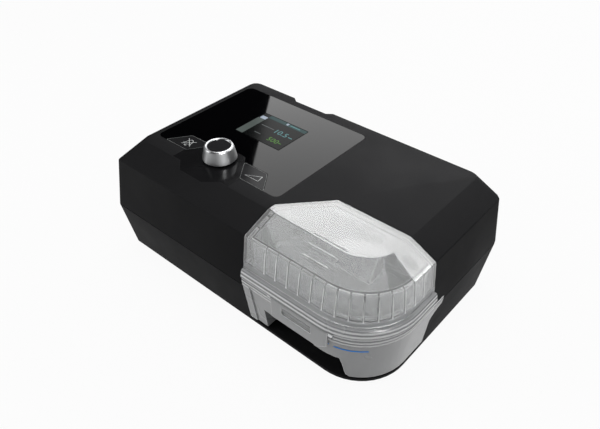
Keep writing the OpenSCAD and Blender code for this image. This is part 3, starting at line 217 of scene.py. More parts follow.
# %% [markdown]
# ## Glass, keys and display
#
# The control panel is clear glass printed black from behind, so it is a
# polished mirror over black. The touch keys are the same gloss with a duller
# coat. Fingers leave faint smears, a slow change of roughness.

# %% Panel glass and key gloss
SMEAR_CELL = 24.0


def polished_black(name, hex_value, roughness, smear, shine=0.068):
    material, tree, shader, place = start_material(
        name, Base_Color=colour(hex_value), Roughness=roughness, IOR=1.52,
        Specular_IOR_Level=shine)
    smears = noise(tree, place, SMEAR_CELL, 5.0, 1.5)
    vary(tree, smears, shader.inputs["Roughness"], roughness, smear)
    return material


panel_glass = polished_black("panel_glass_back_printed", "#020203", 0.02, 0.05)
key_gloss = polished_black("touch_key_polycarbonate", "#1f1f20", 0.08, 0.12, shine=0.032)
display_frame = polished_black("display_frame_plastic", "#0c0d10", 0.2, 0.3)
print("glass and key gloss ready")

# %% [markdown]
# ## Metals
#
# The knob is turned aluminium with a satin anodised skin. Fine rings run
# round its axis and spread each highlight into an upright streak, so the
# shader is anisotropic and its tangent runs round the axis. Pins, shafts and
# screws are bright steel, and the chamber's base plate is anodised
# aluminium. A metal keeps the default IOR, its colour is its reflection.

# %% Metals
KNOB_X, KNOB_Y = -56.4, -31.9
RING_STRETCH = 20.0


def metal(name, hex_value, roughness, grain_mm, depth_mm):
    material, tree, shader, place = start_material(
        name, Base_Color=colour(hex_value), Metallic=1.0, Roughness=roughness)
    grain = add_grain(tree, shader, place, grain_mm, depth_mm)
    vary(tree, grain, shader.inputs["Roughness"], roughness - 0.04, roughness + 0.06)
    return material


def turned_aluminium(name, hex_value, roughness, ring_mm):
    material, tree, shader, place = start_material(
        name, Base_Color=colour(hex_value), Metallic=1.0, Roughness=roughness,
        Anisotropic=0.6, Anisotropic_Rotation=0.25)
    centred = add_node(tree, "ShaderNodeMapping",
                       {"Vector": place, "Location": (-KNOB_X * MM, -KNOB_Y * MM, 0.0)})
    centred = centred.outputs["Vector"]
    round_axis = add_node(tree, "ShaderNodeVectorMath", {0: (0.0, 0.0, 1.0), 1: centred},
                          operation="CROSS_PRODUCT")
    turned = add_node(tree, "ShaderNodeVectorTransform",
                      {"Vector": round_axis.outputs["Vector"]}, vector_type="VECTOR",
                      convert_from="OBJECT", convert_to="WORLD")
    tree.links.new(turned.outputs["Vector"], shader.inputs["Tangent"])
    squash = add_node(tree, "ShaderNodeMapping",
                      {"Vector": centred,
                       "Scale": (RING_STRETCH, RING_STRETCH, cells_per_metre(ring_mm))})
    rings = add_node(tree, "ShaderNodeTexNoise",
                     {"Vector": squash.outputs["Vector"], "Scale": 1.0, "Detail": 2.0})
    rings = rings.outputs["Fac"]
    emboss(tree, shader, rings, 0.01, strength=0.25)
    vary(tree, rings, shader.inputs["Roughness"], roughness - 0.03, roughness + 0.05)
    return material


knob_metal = turned_aluminium("knob_aluminium_turned_anodised", "#a4a5a6", 0.36, 0.45)
plate_metal = metal("base_plate_aluminium_anodised", "#c4c6c8", 0.35, 0.6, 0.01)
bright_steel = metal("pin_steel_ground", "#b9babb", 0.25, 0.4, 0.006)
pressed_steel = metal("can_steel_tinned", "#a9abac", 0.38, 0.8, 0.01)
motor_coat = moulded_plastic("motor_can_powder_coat", "#2a2b2e", 0.35, 0.7, 0.02)
knob_disc = moulded_plastic("knob_disc_soft_paint", "#151516", 0.5, 0.35, 0.008,
                            shine=0.015)
print("metals ready")

# %% [markdown]
# ## Soft and inner materials
#
# Seals and mounts are moulded silicone, the feet a black rubber, and both
# have a dull skin. The circuit boards are glass cloth under green lacquer,
# with the weave faintly showing. The foam and the filter are cellular and
# fibrous, so their grain is coarse and deep and mirrors next to nothing.

# %% Soft and inner materials
WEAVE_PITCH = 6.0
silicone = moulded_plastic("seal_silicone_moulded", "#38393b", 0.6, 0.8, 0.01)
foot_rubber = moulded_plastic("foot_rubber_moulded", "#131313", 0.75, 0.6, 0.02)
foam = moulded_plastic("noise_foam_open_cell", "#3b3c3e", 0.95, 1.6, 0.5)
fleece = moulded_plastic("filter_fleece_bonded", "#dddcd6", 0.95, 0.9, 0.25)


def lacquered_board(name):
    material, tree, shader, place = start_material(
        name, Base_Color=colour("#14502f"), Roughness=0.3, IOR=1.5)
    weave = add_node(tree, "ShaderNodeTexWave",
                     {"Vector": place, "Scale": cells_per_metre(WEAVE_PITCH)})
    emboss(tree, shader, weave.outputs["Fac"], 0.01)
    return material


board_lacquer = lacquered_board("board_green_lacquer")
print("soft and inner materials ready")

# %% [markdown]
# ## Clear and milky polycarbonate
#
# The chamber is moulded in polycarbonate. The lid is clear with a slight
# haze, and the tub is milkier. Each wall lets some light through and
# scatters the rest. Its edges are rounded in the real moulding, where light
# gathers, so they get a painted highlight: a whiter, denser colour near each
# edge. The Bevel node turns the normal near an edge, and how far it differs
# from the true normal shows the edge.
#
# Two more things belong to single parts. The lid's rim is thick and milky,
# so a band of heights on it is dense. The tub's bands have ridges and
# grooves, which are in the part, and their shading is deepened on its outer
# wall, where the normal points away from the tub's middle, by a bump and by
# painted shade in the grooves and a painted highlight on the crests.

# %% Clear and milky polycarbonate
LID_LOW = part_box("chamber_lid")[0][2] / MM
BANDS_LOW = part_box("chamber_tub")[1][2] / MM - 15.4
TUB_MIDDLE = [sum(corner[i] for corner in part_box("chamber_tub")) / 2 for i in (0, 1)]
HAZE_CELL = 30.0
EDGE_STARTS, EDGE_FULL = 0.97, 0.86
RIM_FADE, RIDGES_FADE = 0.4, 0.6


def height_mask(tree, height, low_mm, high_mm, fade_mm):
    above = remap(tree, height, (low_mm - fade_mm) * MM, low_mm * MM)
    below = remap(tree, height, (high_mm + fade_mm) * MM, high_mm * MM)
    return calculate(tree, "MINIMUM", above, below)


def edge_mask(tree, edge_mm, true_normal):
    bend = add_node(tree, "ShaderNodeVectorMath",
                    {0: soft_edge(tree, edge_mm), 1: true_normal}, operation="DOT_PRODUCT")
    return remap(tree, bend.outputs["Value"], EDGE_STARTS, EDGE_FULL)


def outer_wall_mask(tree, place, true_normal):
    outward = add_node(tree, "ShaderNodeMapping",
                       {"Vector": place, "Location": (-TUB_MIDDLE[0], -TUB_MIDDLE[1], 0.0),
                        "Scale": (1.0, 1.0, 0.0)})
    facing = add_node(tree, "ShaderNodeVectorMath",
                      {0: outward.outputs["Vector"], 1: true_normal},
                      operation="DOT_PRODUCT")
    return remap(tree, facing.outputs["Value"], 0.0, 2 * MM)


def clear_plastic(name, hex_value, roughness, clearness, index, edge_mm,
                  edge_clearness, shine=0.5, edge_highlight_hex="#ffffff", dense_band=None,
                  ridges=None):
    material, tree, shader, place = start_material(
        name, Roughness=roughness, IOR=index, Specular_IOR_Level=shine)
    vary(tree, noise(tree, place, HAZE_CELL, 2.0), shader.inputs["Roughness"],
         max(roughness - 0.02, 0.01), roughness + 0.03)
    height = add_node(tree, "ShaderNodeSeparateXYZ", {"Vector": place}).outputs["Z"]
    true_normal = add_node(tree, "ShaderNodeNewGeometry").outputs["Normal"]
    # painted highlight: near each edge the colour turns whiter and the wall denser, for
    # light the rounded edge gathers
    edge = edge_mask(tree, edge_mm, true_normal)
    dense = remap(tree, edge, 0.0, 1.0, clearness, edge_clearness)
    colour_with_painted_light = mix_colours(tree, edge, colour(hex_value), colour(edge_highlight_hex))
    if dense_band:
        low, high, band_hex, band_clearness = dense_band
        inside = height_mask(tree, height, low, high, RIM_FADE)
        dense = mix_values(tree, inside, dense, band_clearness)
        colour_with_painted_light = mix_colours(tree, inside, colour_with_painted_light, colour(band_hex))
    if ridges:
        low, high, pitch, depth_mm, groove_shade_hex, crest_highlight_hex = ridges
        inside = calculate(tree, "MULTIPLY",
                           height_mask(tree, height, low, high, RIDGES_FADE),
                           outer_wall_mask(tree, place, true_normal))
        turn = calculate(tree, "MULTIPLY_ADD", height,
                         2 * math.pi * cells_per_metre(pitch),
                         -2 * math.pi * low / pitch - math.pi / 2)
        swell = remap(tree, calculate(tree, "SINE", turn), -1.0, 1.0)
        emboss(tree, shader, calculate(tree, "MULTIPLY", swell, inside), depth_mm)
        # painted shade in the grooves and painted highlight on the crests
        painted_ridge_light = mix_colours(tree, swell, colour(groove_shade_hex), colour(crest_highlight_hex))
        colour_with_painted_light = mix_colours(tree, inside, colour_with_painted_light, painted_ridge_light)
    tree.links.new(dense, shader.inputs["Transmission Weight"])
    tree.links.new(colour_with_painted_light, shader.inputs["Base Color"])
    return material


lid_rim = (LID_LOW + 0.8, LID_LOW + 4.4, "#8f9192", 0.25)
# the two colours are painted shade for the grooves and painted highlight for the crests
tub_bands = (BANDS_LOW, BANDS_LOW + 15.0, 3.0, 0.6, "#7c7d7f", "#f0f1f2")
lid_clear = clear_plastic(
    "lid_polycarbonate_clear", "#f8f9f9", roughness=0.03, clearness=0.89, index=1.5,
    edge_mm=0.5, edge_clearness=0.3, shine=0.85, dense_band=lid_rim)
duct_clear = clear_plastic(
    "duct_polycarbonate_clear", "#6a6c6e", roughness=0.06, clearness=0.72, index=1.4,
    edge_mm=0.6, edge_clearness=0.15, shine=0.8)
tub_milky = clear_plastic(
    "tub_polycarbonate_milky", "#9b9c9d", roughness=0.25, clearness=0.2, index=1.45,
    edge_mm=0.6, edge_clearness=0.1, shine=0.6, edge_highlight_hex="#e4e5e6", ridges=tub_bands)
latch_milky = clear_plastic(
    "latch_polycarbonate_milky", "#acadae", roughness=0.2, clearness=0.3, index=1.45,
    edge_mm=0.5, edge_clearness=0.1, shine=0.6)
print("chamber plastics ready")

# %% [markdown]
# ## Finish the construction parts
#
# The parts arrive as loose triangles. A Weld modifier joins them, and an
# Edge Split modifier keeps corners crisp while the curved walls shade
# smoothly. Each part then gets the material of its slot, except the duct
# and the latch, which share a slot but not a finish with their neighbours.

# %% Finish the construction parts
FINISH = {
    "case_black": case_plastic, "case_base": base_plastic,
    "panel_glass": panel_glass, "display": display_frame, "key_black": key_gloss,
    "knob_silver": knob_metal, "knob_disc": knob_disc, "steel": bright_steel,
    "board_green": board_lacquer, "parts_dark": parts_plastic,
    "metal_can": pressed_steel, "card_blue": card_plastic, "tub_clear": tub_milky,
    "lid_clear": lid_clear, "plate_metal": plate_metal, "silicone": silicone,
    "rubber_black": foot_rubber, "inner_grey": inner_plastic,
    "impeller_white": impeller_plastic, "motor_can": motor_coat,
    "foam_grey": foam, "filter_white": fleece}
OWN_FINISH = {"lid_duct": duct_clear, "lid_latch": latch_milky}
CREASE = math.radians(28)
WELD_REACH = 0.002
for row in frame["record"]["subparts"]:
    part = nodes[row["node"]]
    part.data.materials.clear()
    part.data.materials.append(OWN_FINISH.get(row["node"], FINISH[row["material_slot"]]))
    for face in part.data.polygons:
        face.use_smooth = True
    weld = part.modifiers.new("weld", "WELD")
    weld.merge_threshold = WELD_REACH * MM
    split = part.modifiers.new("crisp_corners", "EDGE_SPLIT")
    split.split_angle = CREASE
    split.use_edge_sharp = False
print(len(FINISH), "finishes on", len(nodes), "parts")

# %% [markdown]
# ## Tools for the printed and lit marks
#
# The real marks are ink and light a few hundredths of a millimetre thick. A
# plate starts as a cube of the mark's size, and its upright corners are
# bevelled in edit mode. Lines start as curves with a round section, become a
# mesh, and are pressed flat. Numbers start as text and are stretched to the
# space that they fill. Each mark rides on the body that carries it, so a key
# takes its sign along when it is pressed.

# %% Tools for printed marks
GLASS_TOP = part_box("panel_glass")[1][2] / MM
INK_T = 0.06


def deselect_all():
    if bpy.context.object and bpy.context.object.mode != "OBJECT":
        bpy.ops.object.mode_set(mode="OBJECT")
    bpy.ops.object.select_all(action="DESELECT")


def hand_over(piece, material, body):
    piece.data.materials.clear()
    piece.data.materials.append(material)
    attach(piece, body)


def press_into_place(piece, size, place):
    piece.scale = size
    piece.location = place
    bpy.ops.object.transform_apply(location=True, rotation=True, scale=True)


def add_plate(name, left, right, front, back, low, high, corner_mm, material, body):
    deselect_all()
    bpy.ops.mesh.primitive_cube_add(size=1.0)
    plate = bpy.context.object
    plate.name = name
    spans = ((left, right), (front, back), (low, high))
    press_into_place(plate, [(end - start) * MM for start, end in spans],
                     [(start + end) / 2 * MM for start, end in spans])
    deselect_all()
    plate.select_set(True)
    bpy.ops.object.mode_set(mode="EDIT")
    bpy.ops.mesh.select_all(action="DESELECT")
    bpy.ops.object.mode_set(mode="OBJECT")
    for edge in plate.data.edges:
        one, two = (plate.data.vertices[i].co for i in edge.vertices)
        edge.select = abs(one.z - two.z) > 0.5 * (high - low) * MM
    bpy.ops.object.mode_set(mode="EDIT")
    bpy.ops.mesh.select_mode(type="EDGE")
    bpy.ops.mesh.bevel(offset=corner_mm * MM, segments=4)
    bpy.ops.object.mode_set(mode="OBJECT")
    hand_over(plate, material, body)


def add_line(name, strokes, width_mm, height, material, body):
    curve = bpy.data.curves.new(name, "CURVE")
    curve.dimensions = "3D"
    curve.bevel_depth = width_mm / 2
    curve.bevel_resolution = 2
    curve.use_fill_caps = True
    for points, closed in strokes:
        spline = curve.splines.new("POLY")
        spline.points.add(len(points) - 1)
        for point, (x, y) in zip(spline.points, points):
            point.co = (x, y, 0.0, 1.0)
        spline.use_cyclic_u = closed
    line = bpy.data.objects.new(name, curve)
    bpy.context.collection.objects.link(line)
    deselect_all()
    line.select_set(True)
    bpy.context.view_layer.objects.active = line
    bpy.ops.object.convert(target="MESH")
    line = bpy.context.object
    flat = 2 * INK_T / width_mm
    press_into_place(line, (MM, MM, MM * flat), (0.0, 0.0, height * MM))
    hand_over(line, material, body)


def add_number(name, words, left, right, front, back, height, material, body):
    deselect_all()
    bpy.ops.object.text_add()
    number = bpy.context.object
    number.name = name
    number.data.body = words
    number.data.extrude = 0.5
    number.data.resolution_u = 3
    bpy.ops.object.convert(target="MESH")
    number = bpy.context.object
    across = [v.co.x for v in number.data.vertices]
    upward = [v.co.y for v in number.data.vertices]
    wide = (right - left) / (max(across) - min(across)) * MM
    tall = (back - front) / (max(upward) - min(upward)) * MM
    press_into_place(number, (wide, tall, INK_T * MM),
                     (left * MM - min(across) * wide, front * MM - min(upward) * tall,
                      height * MM))
    hand_over(number, material, body)


print("glass top at", round(GLASS_TOP, 2), "mm")

# %% [markdown]
# ## The lit display
#
# The display is a small colour screen bonded behind the glass. Lit pixels
# glow evenly with faint rows, and its dark field still mirrors a little less
# than the bare glass, because its top film is matted. The glass part is
# opaque black here, so the picture lies on it as plates as thin as ink.
# Small type is drawn as plain bars, and the two numbers are written out.

# %% The lit display
PIXEL_ROW = 0.6
ROW_SHARE = 0.25
BACKLIGHT_CELL = 16.0
SCREEN_LEFT, SCREEN_RIGHT, SCREEN_FRONT, SCREEN_BACK = -78.7, -29.74, 6.5, 43.2
HEADER_FRONT = 38.5
SIDE_RIGHT = -71.0
CORNER_FRONT = HEADER_FRONT - 4.2
TYPE_HALF = 0.4
SCREEN_SINK = 0.02
DIGITS_Z = GLASS_TOP + 0.07


def lit_pixels(name, hex_value, strength):
    material, tree, shader, place = start_material(
        name, Base_Color=colour("#040505"), Roughness=0.12, IOR=1.5,
        Specular_IOR_Level=0.02, Emission_Color=colour(hex_value))
    rows = add_node(tree, "ShaderNodeTexWave",
                    {"Vector": place, "Scale": cells_per_metre(PIXEL_ROW) / (2 * math.pi)},
                    bands_direction="Y")
    shimmer = mix_colours(tree, ROW_SHARE, noise(tree, place, BACKLIGHT_CELL, 1.0),
                          rows.outputs["Fac"])
    vary(tree, shimmer, shader.inputs["Emission Strength"], strength * 0.85,
         strength * 1.1)
    return material


screen_dark = lit_pixels("display_field_matt_film", "#060808", 0.5)
screen_teal = lit_pixels("display_bar_dark_teal", "#2a4a4b", 0.8)
screen_grey = lit_pixels("display_bar_grey", "#5c6461", 0.8)
screen_white = lit_pixels("display_corner_pale_blue", "#aeb9c8", 0.85)
screen_cyan = lit_pixels("display_digits_cyan", "#78b4b8", 0.6)
screen_green = lit_pixels("display_digits_green", "#6fae4a", 0.5)
screen_label = lit_pixels("display_label_grey", "#868c8c", 0.45)


def screen_plate(name, left, right, front, back, layer, material, corner_mm=0.3):
    low = GLASS_TOP - SCREEN_SINK
    add_plate(name, left, right, front, back, low, low + INK_T * (layer + 1), corner_mm,
              material, "case")


screen_plate("screen_field", SCREEN_LEFT, SCREEN_RIGHT, SCREEN_FRONT, SCREEN_BACK, 0,
             screen_dark)
screen_plate("screen_header", SIDE_RIGHT + 0.3, SCREEN_RIGHT - 0.2, HEADER_FRONT,
             SCREEN_BACK - 0.4, 1, screen_teal)
screen_plate("screen_side_bar", SCREEN_LEFT + 0.2, SIDE_RIGHT, SCREEN_FRONT + 0.2,
             CORNER_FRONT - 0.2, 1, screen_grey)
screen_plate("screen_corner", SCREEN_LEFT + 1.5, SIDE_RIGHT, CORNER_FRONT,
             HEADER_FRONT + 0.1, 1, screen_white, 0.6)
screen_plate("screen_header_light", -51.6, -49.4, 39.5, 42.2, 2, screen_white, 0.5)
screen_plate("screen_header_bar", -47.5, -36.7, 40.3, 41.1, 2, screen_cyan)
for row, (left, right, middle, material) in enumerate((
        (-67.8, -53.4, 27.0, screen_label), (-64.8, -57.9, 15.0, screen_label),
        (-36.8, -32.6, 25.7, screen_cyan), (-37.4, -34.3, 14.2, screen_green))):
    screen_plate("screen_label_" + str(row + 1), left, right, middle - TYPE_HALF,
                 middle + TYPE_HALF, 1, material)
add_number("screen_number_upper", "10.5", -51.0, -38.5, 23.7, 29.4, DIGITS_Z,
           screen_cyan, "case")
add_number("screen_number_lower", "500", -48.6, -37.8, 11.8, 17.2, DIGITS_Z,
           screen_green, "case")
print("display of", round(SCREEN_RIGHT - SCREEN_LEFT, 1), "by",
      round(SCREEN_BACK - SCREEN_FRONT, 1), "mm lit")

# %% [markdown]
# ## Signs on the keys
#
# The left key silences the alarm, so a crossed bell is printed on it, and
# the right one starts the slow pressure ramp, so it has a rising wedge. Both
# are screen printed in light grey ink. A thin painted highlight also runs
# along the edge of each key, where its moulded edge catches the light.

# %% Signs on the keys
BELL_X, BELL_Y = -92.9, -32.0
BELL_HALF = ((4.2, -2.6), (3.0, -1.4), (2.6, 1.0), (1.9, 2.9), (0.6, 3.9))
CLAPPER_Y, CLAPPER_WIDE, CLAPPER_DEEP = BELL_Y - 4.0, 1.1, 0.9
CLAPPER_STEPS = 6
CROSS = (((-4.6, 4.3), (5.0, -3.9)), ((-4.4, -4.5), (4.8, 4.0)))
WEDGE = ((-26.4, -34.7), (-14.1, -28.4), (-13.0, -34.4))
key_ink = moulded_plastic("key_sign_screen_ink", "#b9bcbb", 0.5, 0.3, 0.004, 0.3)
# painted highlight: a light grey line for the light caught by each key's moulded edge
key_edge_highlight_paint = moulded_plastic("key_edge_painted_highlight", "#6a6d6c", 0.4, 0.3, 0.004, 0.3)
key_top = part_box("mute_key")[1][2] / MM

bell = [(BELL_X - x, BELL_Y + y) for x, y in BELL_HALF]
bell += [(BELL_X + x, BELL_Y + y) for x, y in reversed(BELL_HALF)]
add_line("mute_sign_bell", [(bell, True)], 0.55, key_top, key_ink, "mute")
clapper = []
for step in range(CLAPPER_STEPS + 1):
    angle = math.pi + math.pi * step / CLAPPER_STEPS
    clapper.append((BELL_X + CLAPPER_WIDE * math.cos(angle),
                    CLAPPER_Y + CLAPPER_DEEP * math.sin(angle)))
add_line("mute_sign_clapper", [(clapper, True)], 0.6, key_top, key_ink, "mute")
cross = [([(BELL_X + x, BELL_Y + y) for x, y in stroke], False) for stroke in CROSS]
add_line("mute_sign_cross", cross, 0.5, key_top, key_ink, "mute")
add_line("ramp_sign_wedge", [(WEDGE, True)], 0.8, key_top, key_ink, "ramp")
print("two signs on keys at height", round(key_top, 2), "mm")

# %% [markdown]
# ## Painted highlights on the keys' edges
#
# The keys are slanted plates with rounded corners, mirrored about the knob.
# Their painted edge highlight follows the same outline, drawn just inside it.
# Each corner is a curve that leaves one side and meets the next, and every
# point is then moved a little towards the middle.

# %% Painted highlights on the key edges
KEY_FRONT = -40.7
KEY_BACK = -22.9
KEY_CORNERS = ((30.1, KEY_FRONT), (54.8, KEY_FRONT), (42.6, KEY_BACK), (17.8, KEY_BACK))
KEY_ROUND, KEY_INSET, KEY_LINE = 1.8, 0.35, 0.35


def unit_step(start, end):
    length = math.dist(start, end)
    return [(e - s) / length for s, e in zip(start, end)]


def rounded_outline(corners, inset, radius, steps=5):
    middle = [sum(axis) / len(corners) for axis in zip(*corners)]
    points = []
    for i, corner in enumerate(corners):
        to_before = unit_step(corner, corners[i - 1])
        to_after = unit_step(corner, corners[(i + 1) % len(corners)])
        for step in range(steps + 1):
            share = step / steps
            reach_before, reach_after = radius * (1 - share) ** 2, radius * share ** 2
            points.append([c + b * reach_before + a * reach_after
                           for c, b, a in zip(corner, to_before, to_after)])
    return [[p + inward * inset for p, inward in zip(point, unit_step(point, middle))]
            for point in points]


for name, side in (("mute", -1), ("ramp", 1)):
    outline = [(KNOB_X + side * x, y) for x, y in
               rounded_outline(KEY_CORNERS, KEY_INSET, KEY_ROUND)]
    add_line(name + "_key_edge", [(outline, True)], KEY_LINE, key_top, key_edge_highlight_paint, name)
print("key edges drawn")

# %% [markdown]
# ## Glossy apron round the knob
#
# The field round the knob and the tongue before it carry a hard glossy
# coat that darkly mirrors the knob. It could be a second finish on the case
# part, but its outline is sharp, so it is a thin sheet of its own: a filled
# circle whose corners are moved to the outline, extruded to the thickness.

# %% Glossy apron
APRON_T = 0.05
APRON_FRONT = ((31.1, -40.7), (31.1, -53.2), (22.4, -53.2), (12.3, -62.3))
APRON_BACK = ((18.1, -23.6), (13.2, -17.7))
apron_coat = polished_black("apron_hard_coat", "#131314", 0.1, 0.16, shine=0.07)


def mirrored(points):
    return [(-x, y) for x, y in points]


outline = [*APRON_FRONT, *mirrored(reversed(APRON_FRONT)), *mirrored(APRON_BACK),
           *reversed(APRON_BACK)]
deselect_all()
bpy.ops.mesh.primitive_circle_add(vertices=len(outline), radius=1.0, fill_type="NGON")
apron = bpy.context.object
apron.name = "knob_apron"
for vertex, (x, y) in zip(apron.data.vertices, outline):
    vertex.co = ((KNOB_X + x) * MM, y * MM, (GLASS_TOP - APRON_T) * MM)
bpy.ops.object.mode_set(mode="EDIT")
bpy.ops.mesh.select_all(action="SELECT")
bpy.ops.mesh.extrude_region_move(
    TRANSFORM_OT_translate={"value": (0, 0, 2 * APRON_T * MM)})
bpy.ops.mesh.select_all(action="SELECT")
bpy.ops.mesh.normals_make_consistent(inside=False)
bpy.ops.object.mode_set(mode="OBJECT")
hand_over(apron, apron_coat, "case")
print("apron with", len(outline), "corners")

# %% [markdown]
# ## Level line on the tub
#
# A blue line on the tub's wall shows how high the water may stand. It is
# pad printed on the curved wall, so it starts as a narrow grid of faces that
# a Shrinkwrap modifier lays on the wall, and a Solidify modifier gives the
# ink its thickness. Three small plain marks stand before it.

# %% Level line on the tub
LEVEL_Z = 41.2
LEVEL_HALF = 0.6
MARK_SPANS = ((89.0, 90.6), (91.4, 93.6), (94.4, 95.2))
level_ink = moulded_plastic("level_line_pad_ink", "#0a86e8", 0.5, 0.4, 0.004, 0.1)


def lay_on_wall(strip, wall, gap_mm, thickness_mm):
    wrap = strip.modifiers.new("lay_on_wall", "SHRINKWRAP")
    wrap.target = wall
    wrap.wrap_method = "NEAREST_SURFACEPOINT"
    wrap.wrap_mode = "OUTSIDE_SURFACE"
    wrap.offset = gap_mm * MM
    sheet = strip.modifiers.new("sheet_thickness", "SOLIDIFY")
    sheet.thickness = thickness_mm * MM
    sheet.offset = 0.0
    for modifier in ("lay_on_wall", "sheet_thickness"):
        bpy.ops.object.modifier_apply(modifier=modifier)


def add_wall_strip(name, start, end, low, high, steps, material):
    deselect_all()
    bpy.ops.mesh.primitive_grid_add(x_subdivisions=steps, y_subdivisions=1, size=1.0)
    strip = bpy.context.object
    strip.name = name
    for vertex in strip.data.vertices:
        share = vertex.co.x + 0.5
        x, y = (s + (e - s) * share for s, e in zip(start, end))
        z = low if vertex.co.y < 0 else high
        vertex.co = (x * MM, y * MM, z * MM)
    lay_on_wall(strip, nodes["chamber_tub"], 2 * INK_T, INK_T)
    hand_over(strip, material, "chamber")


add_wall_strip("level_line", (98.5, -82.2), (118.8, -70.0), LEVEL_Z - LEVEL_HALF,
               LEVEL_Z + LEVEL_HALF, 24, level_ink)
for index, (start, end) in enumerate(MARK_SPANS):
    add_wall_strip("level_mark_" + str(index + 1), (start, -84.0), (end, -83.8),
                   LEVEL_Z - 0.2, LEVEL_Z + 1.3, 3, level_ink)
print("level line at", LEVEL_Z, "mm")

# %% [markdown]
# ## Light lines on the lid's ribs
#
# Seen through the clear wall, the outer edge of each rib gathers light into
# a thin bright line that flares at its foot. A render can't gather enough
# light that way, so each line is a painted highlight: a narrow strip of
# milky plastic laid on the wall over its rib, a grid of faces, wide at the
# foot, that the same two modifiers as before lay on the lid. The ribs stand
# at one pitch along the front and the side, and at equal angles round the
# corner.

# %% Light lines on the ribs
RIB_PITCH = 10.2
RIB_FOOT, RIB_TOP = LID_LOW + 4.6, LID_LOW + 23.0
RIB_HALF, RIB_FLARE, FLARE_POWER = 0.22, 0.4, 12
RIB_GAP, RIB_SHEET = 0.04, 0.05
RIBS_FRONT, RIBS_SIDE, RIBS_CORNER = 6, 2, 6
CORNER_X, CORNER_Y, CORNER_R = 86.5, -37.5, 45.0
FRONT_Y, SIDE_X = -79.8, 130.0
# painted highlight: milky strips stand in for light gathered at each rib's edge
rib_light = clear_plastic(
    "rib_edge_painted_highlight", "#f2f3f3", roughness=0.15, clearness=0.25,
    index=1.4, edge_mm=0.2, edge_clearness=0.1)


def add_rib_light(name, x, y, along):
    deselect_all()
    bpy.ops.mesh.primitive_grid_add(x_subdivisions=1, y_subdivisions=14, size=1.0)
    strip = bpy.context.object
    strip.name = name
    for vertex in strip.data.vertices:
        rise = vertex.co.y + 0.5
        half = RIB_HALF + RIB_FLARE * (1 - rise) ** FLARE_POWER
        side = half if vertex.co.x > 0 else -half
        vertex.co = ((x + along[0] * side) * MM, (y + along[1] * side) * MM,
                     (RIB_FOOT + (RIB_TOP - RIB_FOOT) * rise) * MM)
    lay_on_wall(strip, nodes["chamber_lid"], RIB_GAP, RIB_SHEET)
    hand_over(strip, rib_light, "lid")


rib_places = [(CORNER_X - step * RIB_PITCH, FRONT_Y, (1.0, 0.0))
              for step in range(RIBS_FRONT)]
rib_places += [(SIDE_X, CORNER_Y + step * RIB_PITCH, (0.0, 1.0))
               for step in range(RIBS_SIDE)]
for step in range(1, RIBS_CORNER + 1):
    angle = math.radians(-90 + step * 90 / (RIBS_CORNER + 1))
    rib_places.append((CORNER_X + CORNER_R * math.cos(angle),
                       CORNER_Y + CORNER_R * math.sin(angle),
                       (-math.sin(angle), math.cos(angle))))
for number, (x, y, along) in enumerate(rib_places):
    add_rib_light("rib_light_" + str(number + 1), x, y, along)
print(len(rib_places), "light lines on ribs")

# %% [markdown]
# ## Camera
#
# The photograph looks down on the machine from the front right. The camera
# was fitted to the case's corners, so it is written as a place in metres, two
# angles in degrees and a small roll.

# %% Camera
AZIMUTH, ELEVATION, ROLL = (math.radians(turn) for turn in (41.25, 38.96, -0.387))
camera_data = bpy.data.cameras.new("camera")
camera_data.lens = 36.71
camera_data.sensor_width = 36.0
camera = bpy.data.objects.new("camera", camera_data)
bpy.context.collection.objects.link(camera)
camera.location = (0.2535, -0.2911, 0.3640)
camera.rotation_mode = "XYZ"
camera.rotation_euler = (math.pi / 2 - ELEVATION, 0.0, AZIMUTH)
camera.rotation_euler.rotate_axis("Z", ROLL)
bpy.context.scene.camera = camera
bpy.context.scene.view_settings.view_transform = "Standard"
print("camera lens", camera_data.lens, "mm")

# %% [markdown]
# ## Floor
#
# The object stands on white paper. Rays that see the floor directly, through
# the clear plastic or in a reflection find it almost evenly white, and only
# the rest of it takes the soft shadow. Rays of scattered light meet plain
# paper, so the object is lit from below only as paper would light it.

# %% Floor
FLOOR_WHITE = 0.94


def add_plane(name, size, place):
    deselect_all()
    bpy.ops.mesh.primitive_plane_add(size=size, location=place)
    plane = bpy.context.object
    plane.name = name
    bpy.ops.object.transform_apply(location=True, rotation=True, scale=True)
    return plane


def any_ray(tree, *kinds):
    path = add_node(tree, "ShaderNodeLightPath").outputs
    share = path["Is " + kinds[0] + " Ray"]
    for kind in kinds[1:]:
        share = calculate(tree, "MAXIMUM", share, path["Is " + kind + " Ray"])
    return share


floor_material, tree, shader, place = start_material(
    "floor_white_paper", Base_Color=colour("#b4b4b4"), Roughness=0.9)
white = add_node(tree, "ShaderNodeEmission", {"Color": (1, 1, 1, 1), "Strength": 1.0})
share = calculate(tree, "MULTIPLY", any_ray(tree, "Camera", "Transmission", "Glossy"),
                  FLOOR_WHITE)
blend = add_node(tree, "ShaderNodeMixShader",
                 {0: share, 1: shader.outputs["BSDF"], 2: white.outputs["Emission"]})
tree.links.new(blend.outputs["Shader"], surface_of(tree))
floor = add_plane("floor", 8.0, (0, 0, 0))
floor.data.materials.append(floor_material)
print("floor of", round(floor.dimensions.x), "m")

# %% [markdown]
# ## Surroundings
#
# A studio round such a machine has bright screens with dark gaps between
# them, and a dark ceiling. The knob's side shows them as upright streaks, and
# the black glass mirrors the ceiling, so it stays black. That is drawn for
# glossy rays alone: a wave round the horizon makes three screens, and they
# fade out upwards. The camera, also through the clear plastic, sees white,
# and scattered light is an even dim grey.

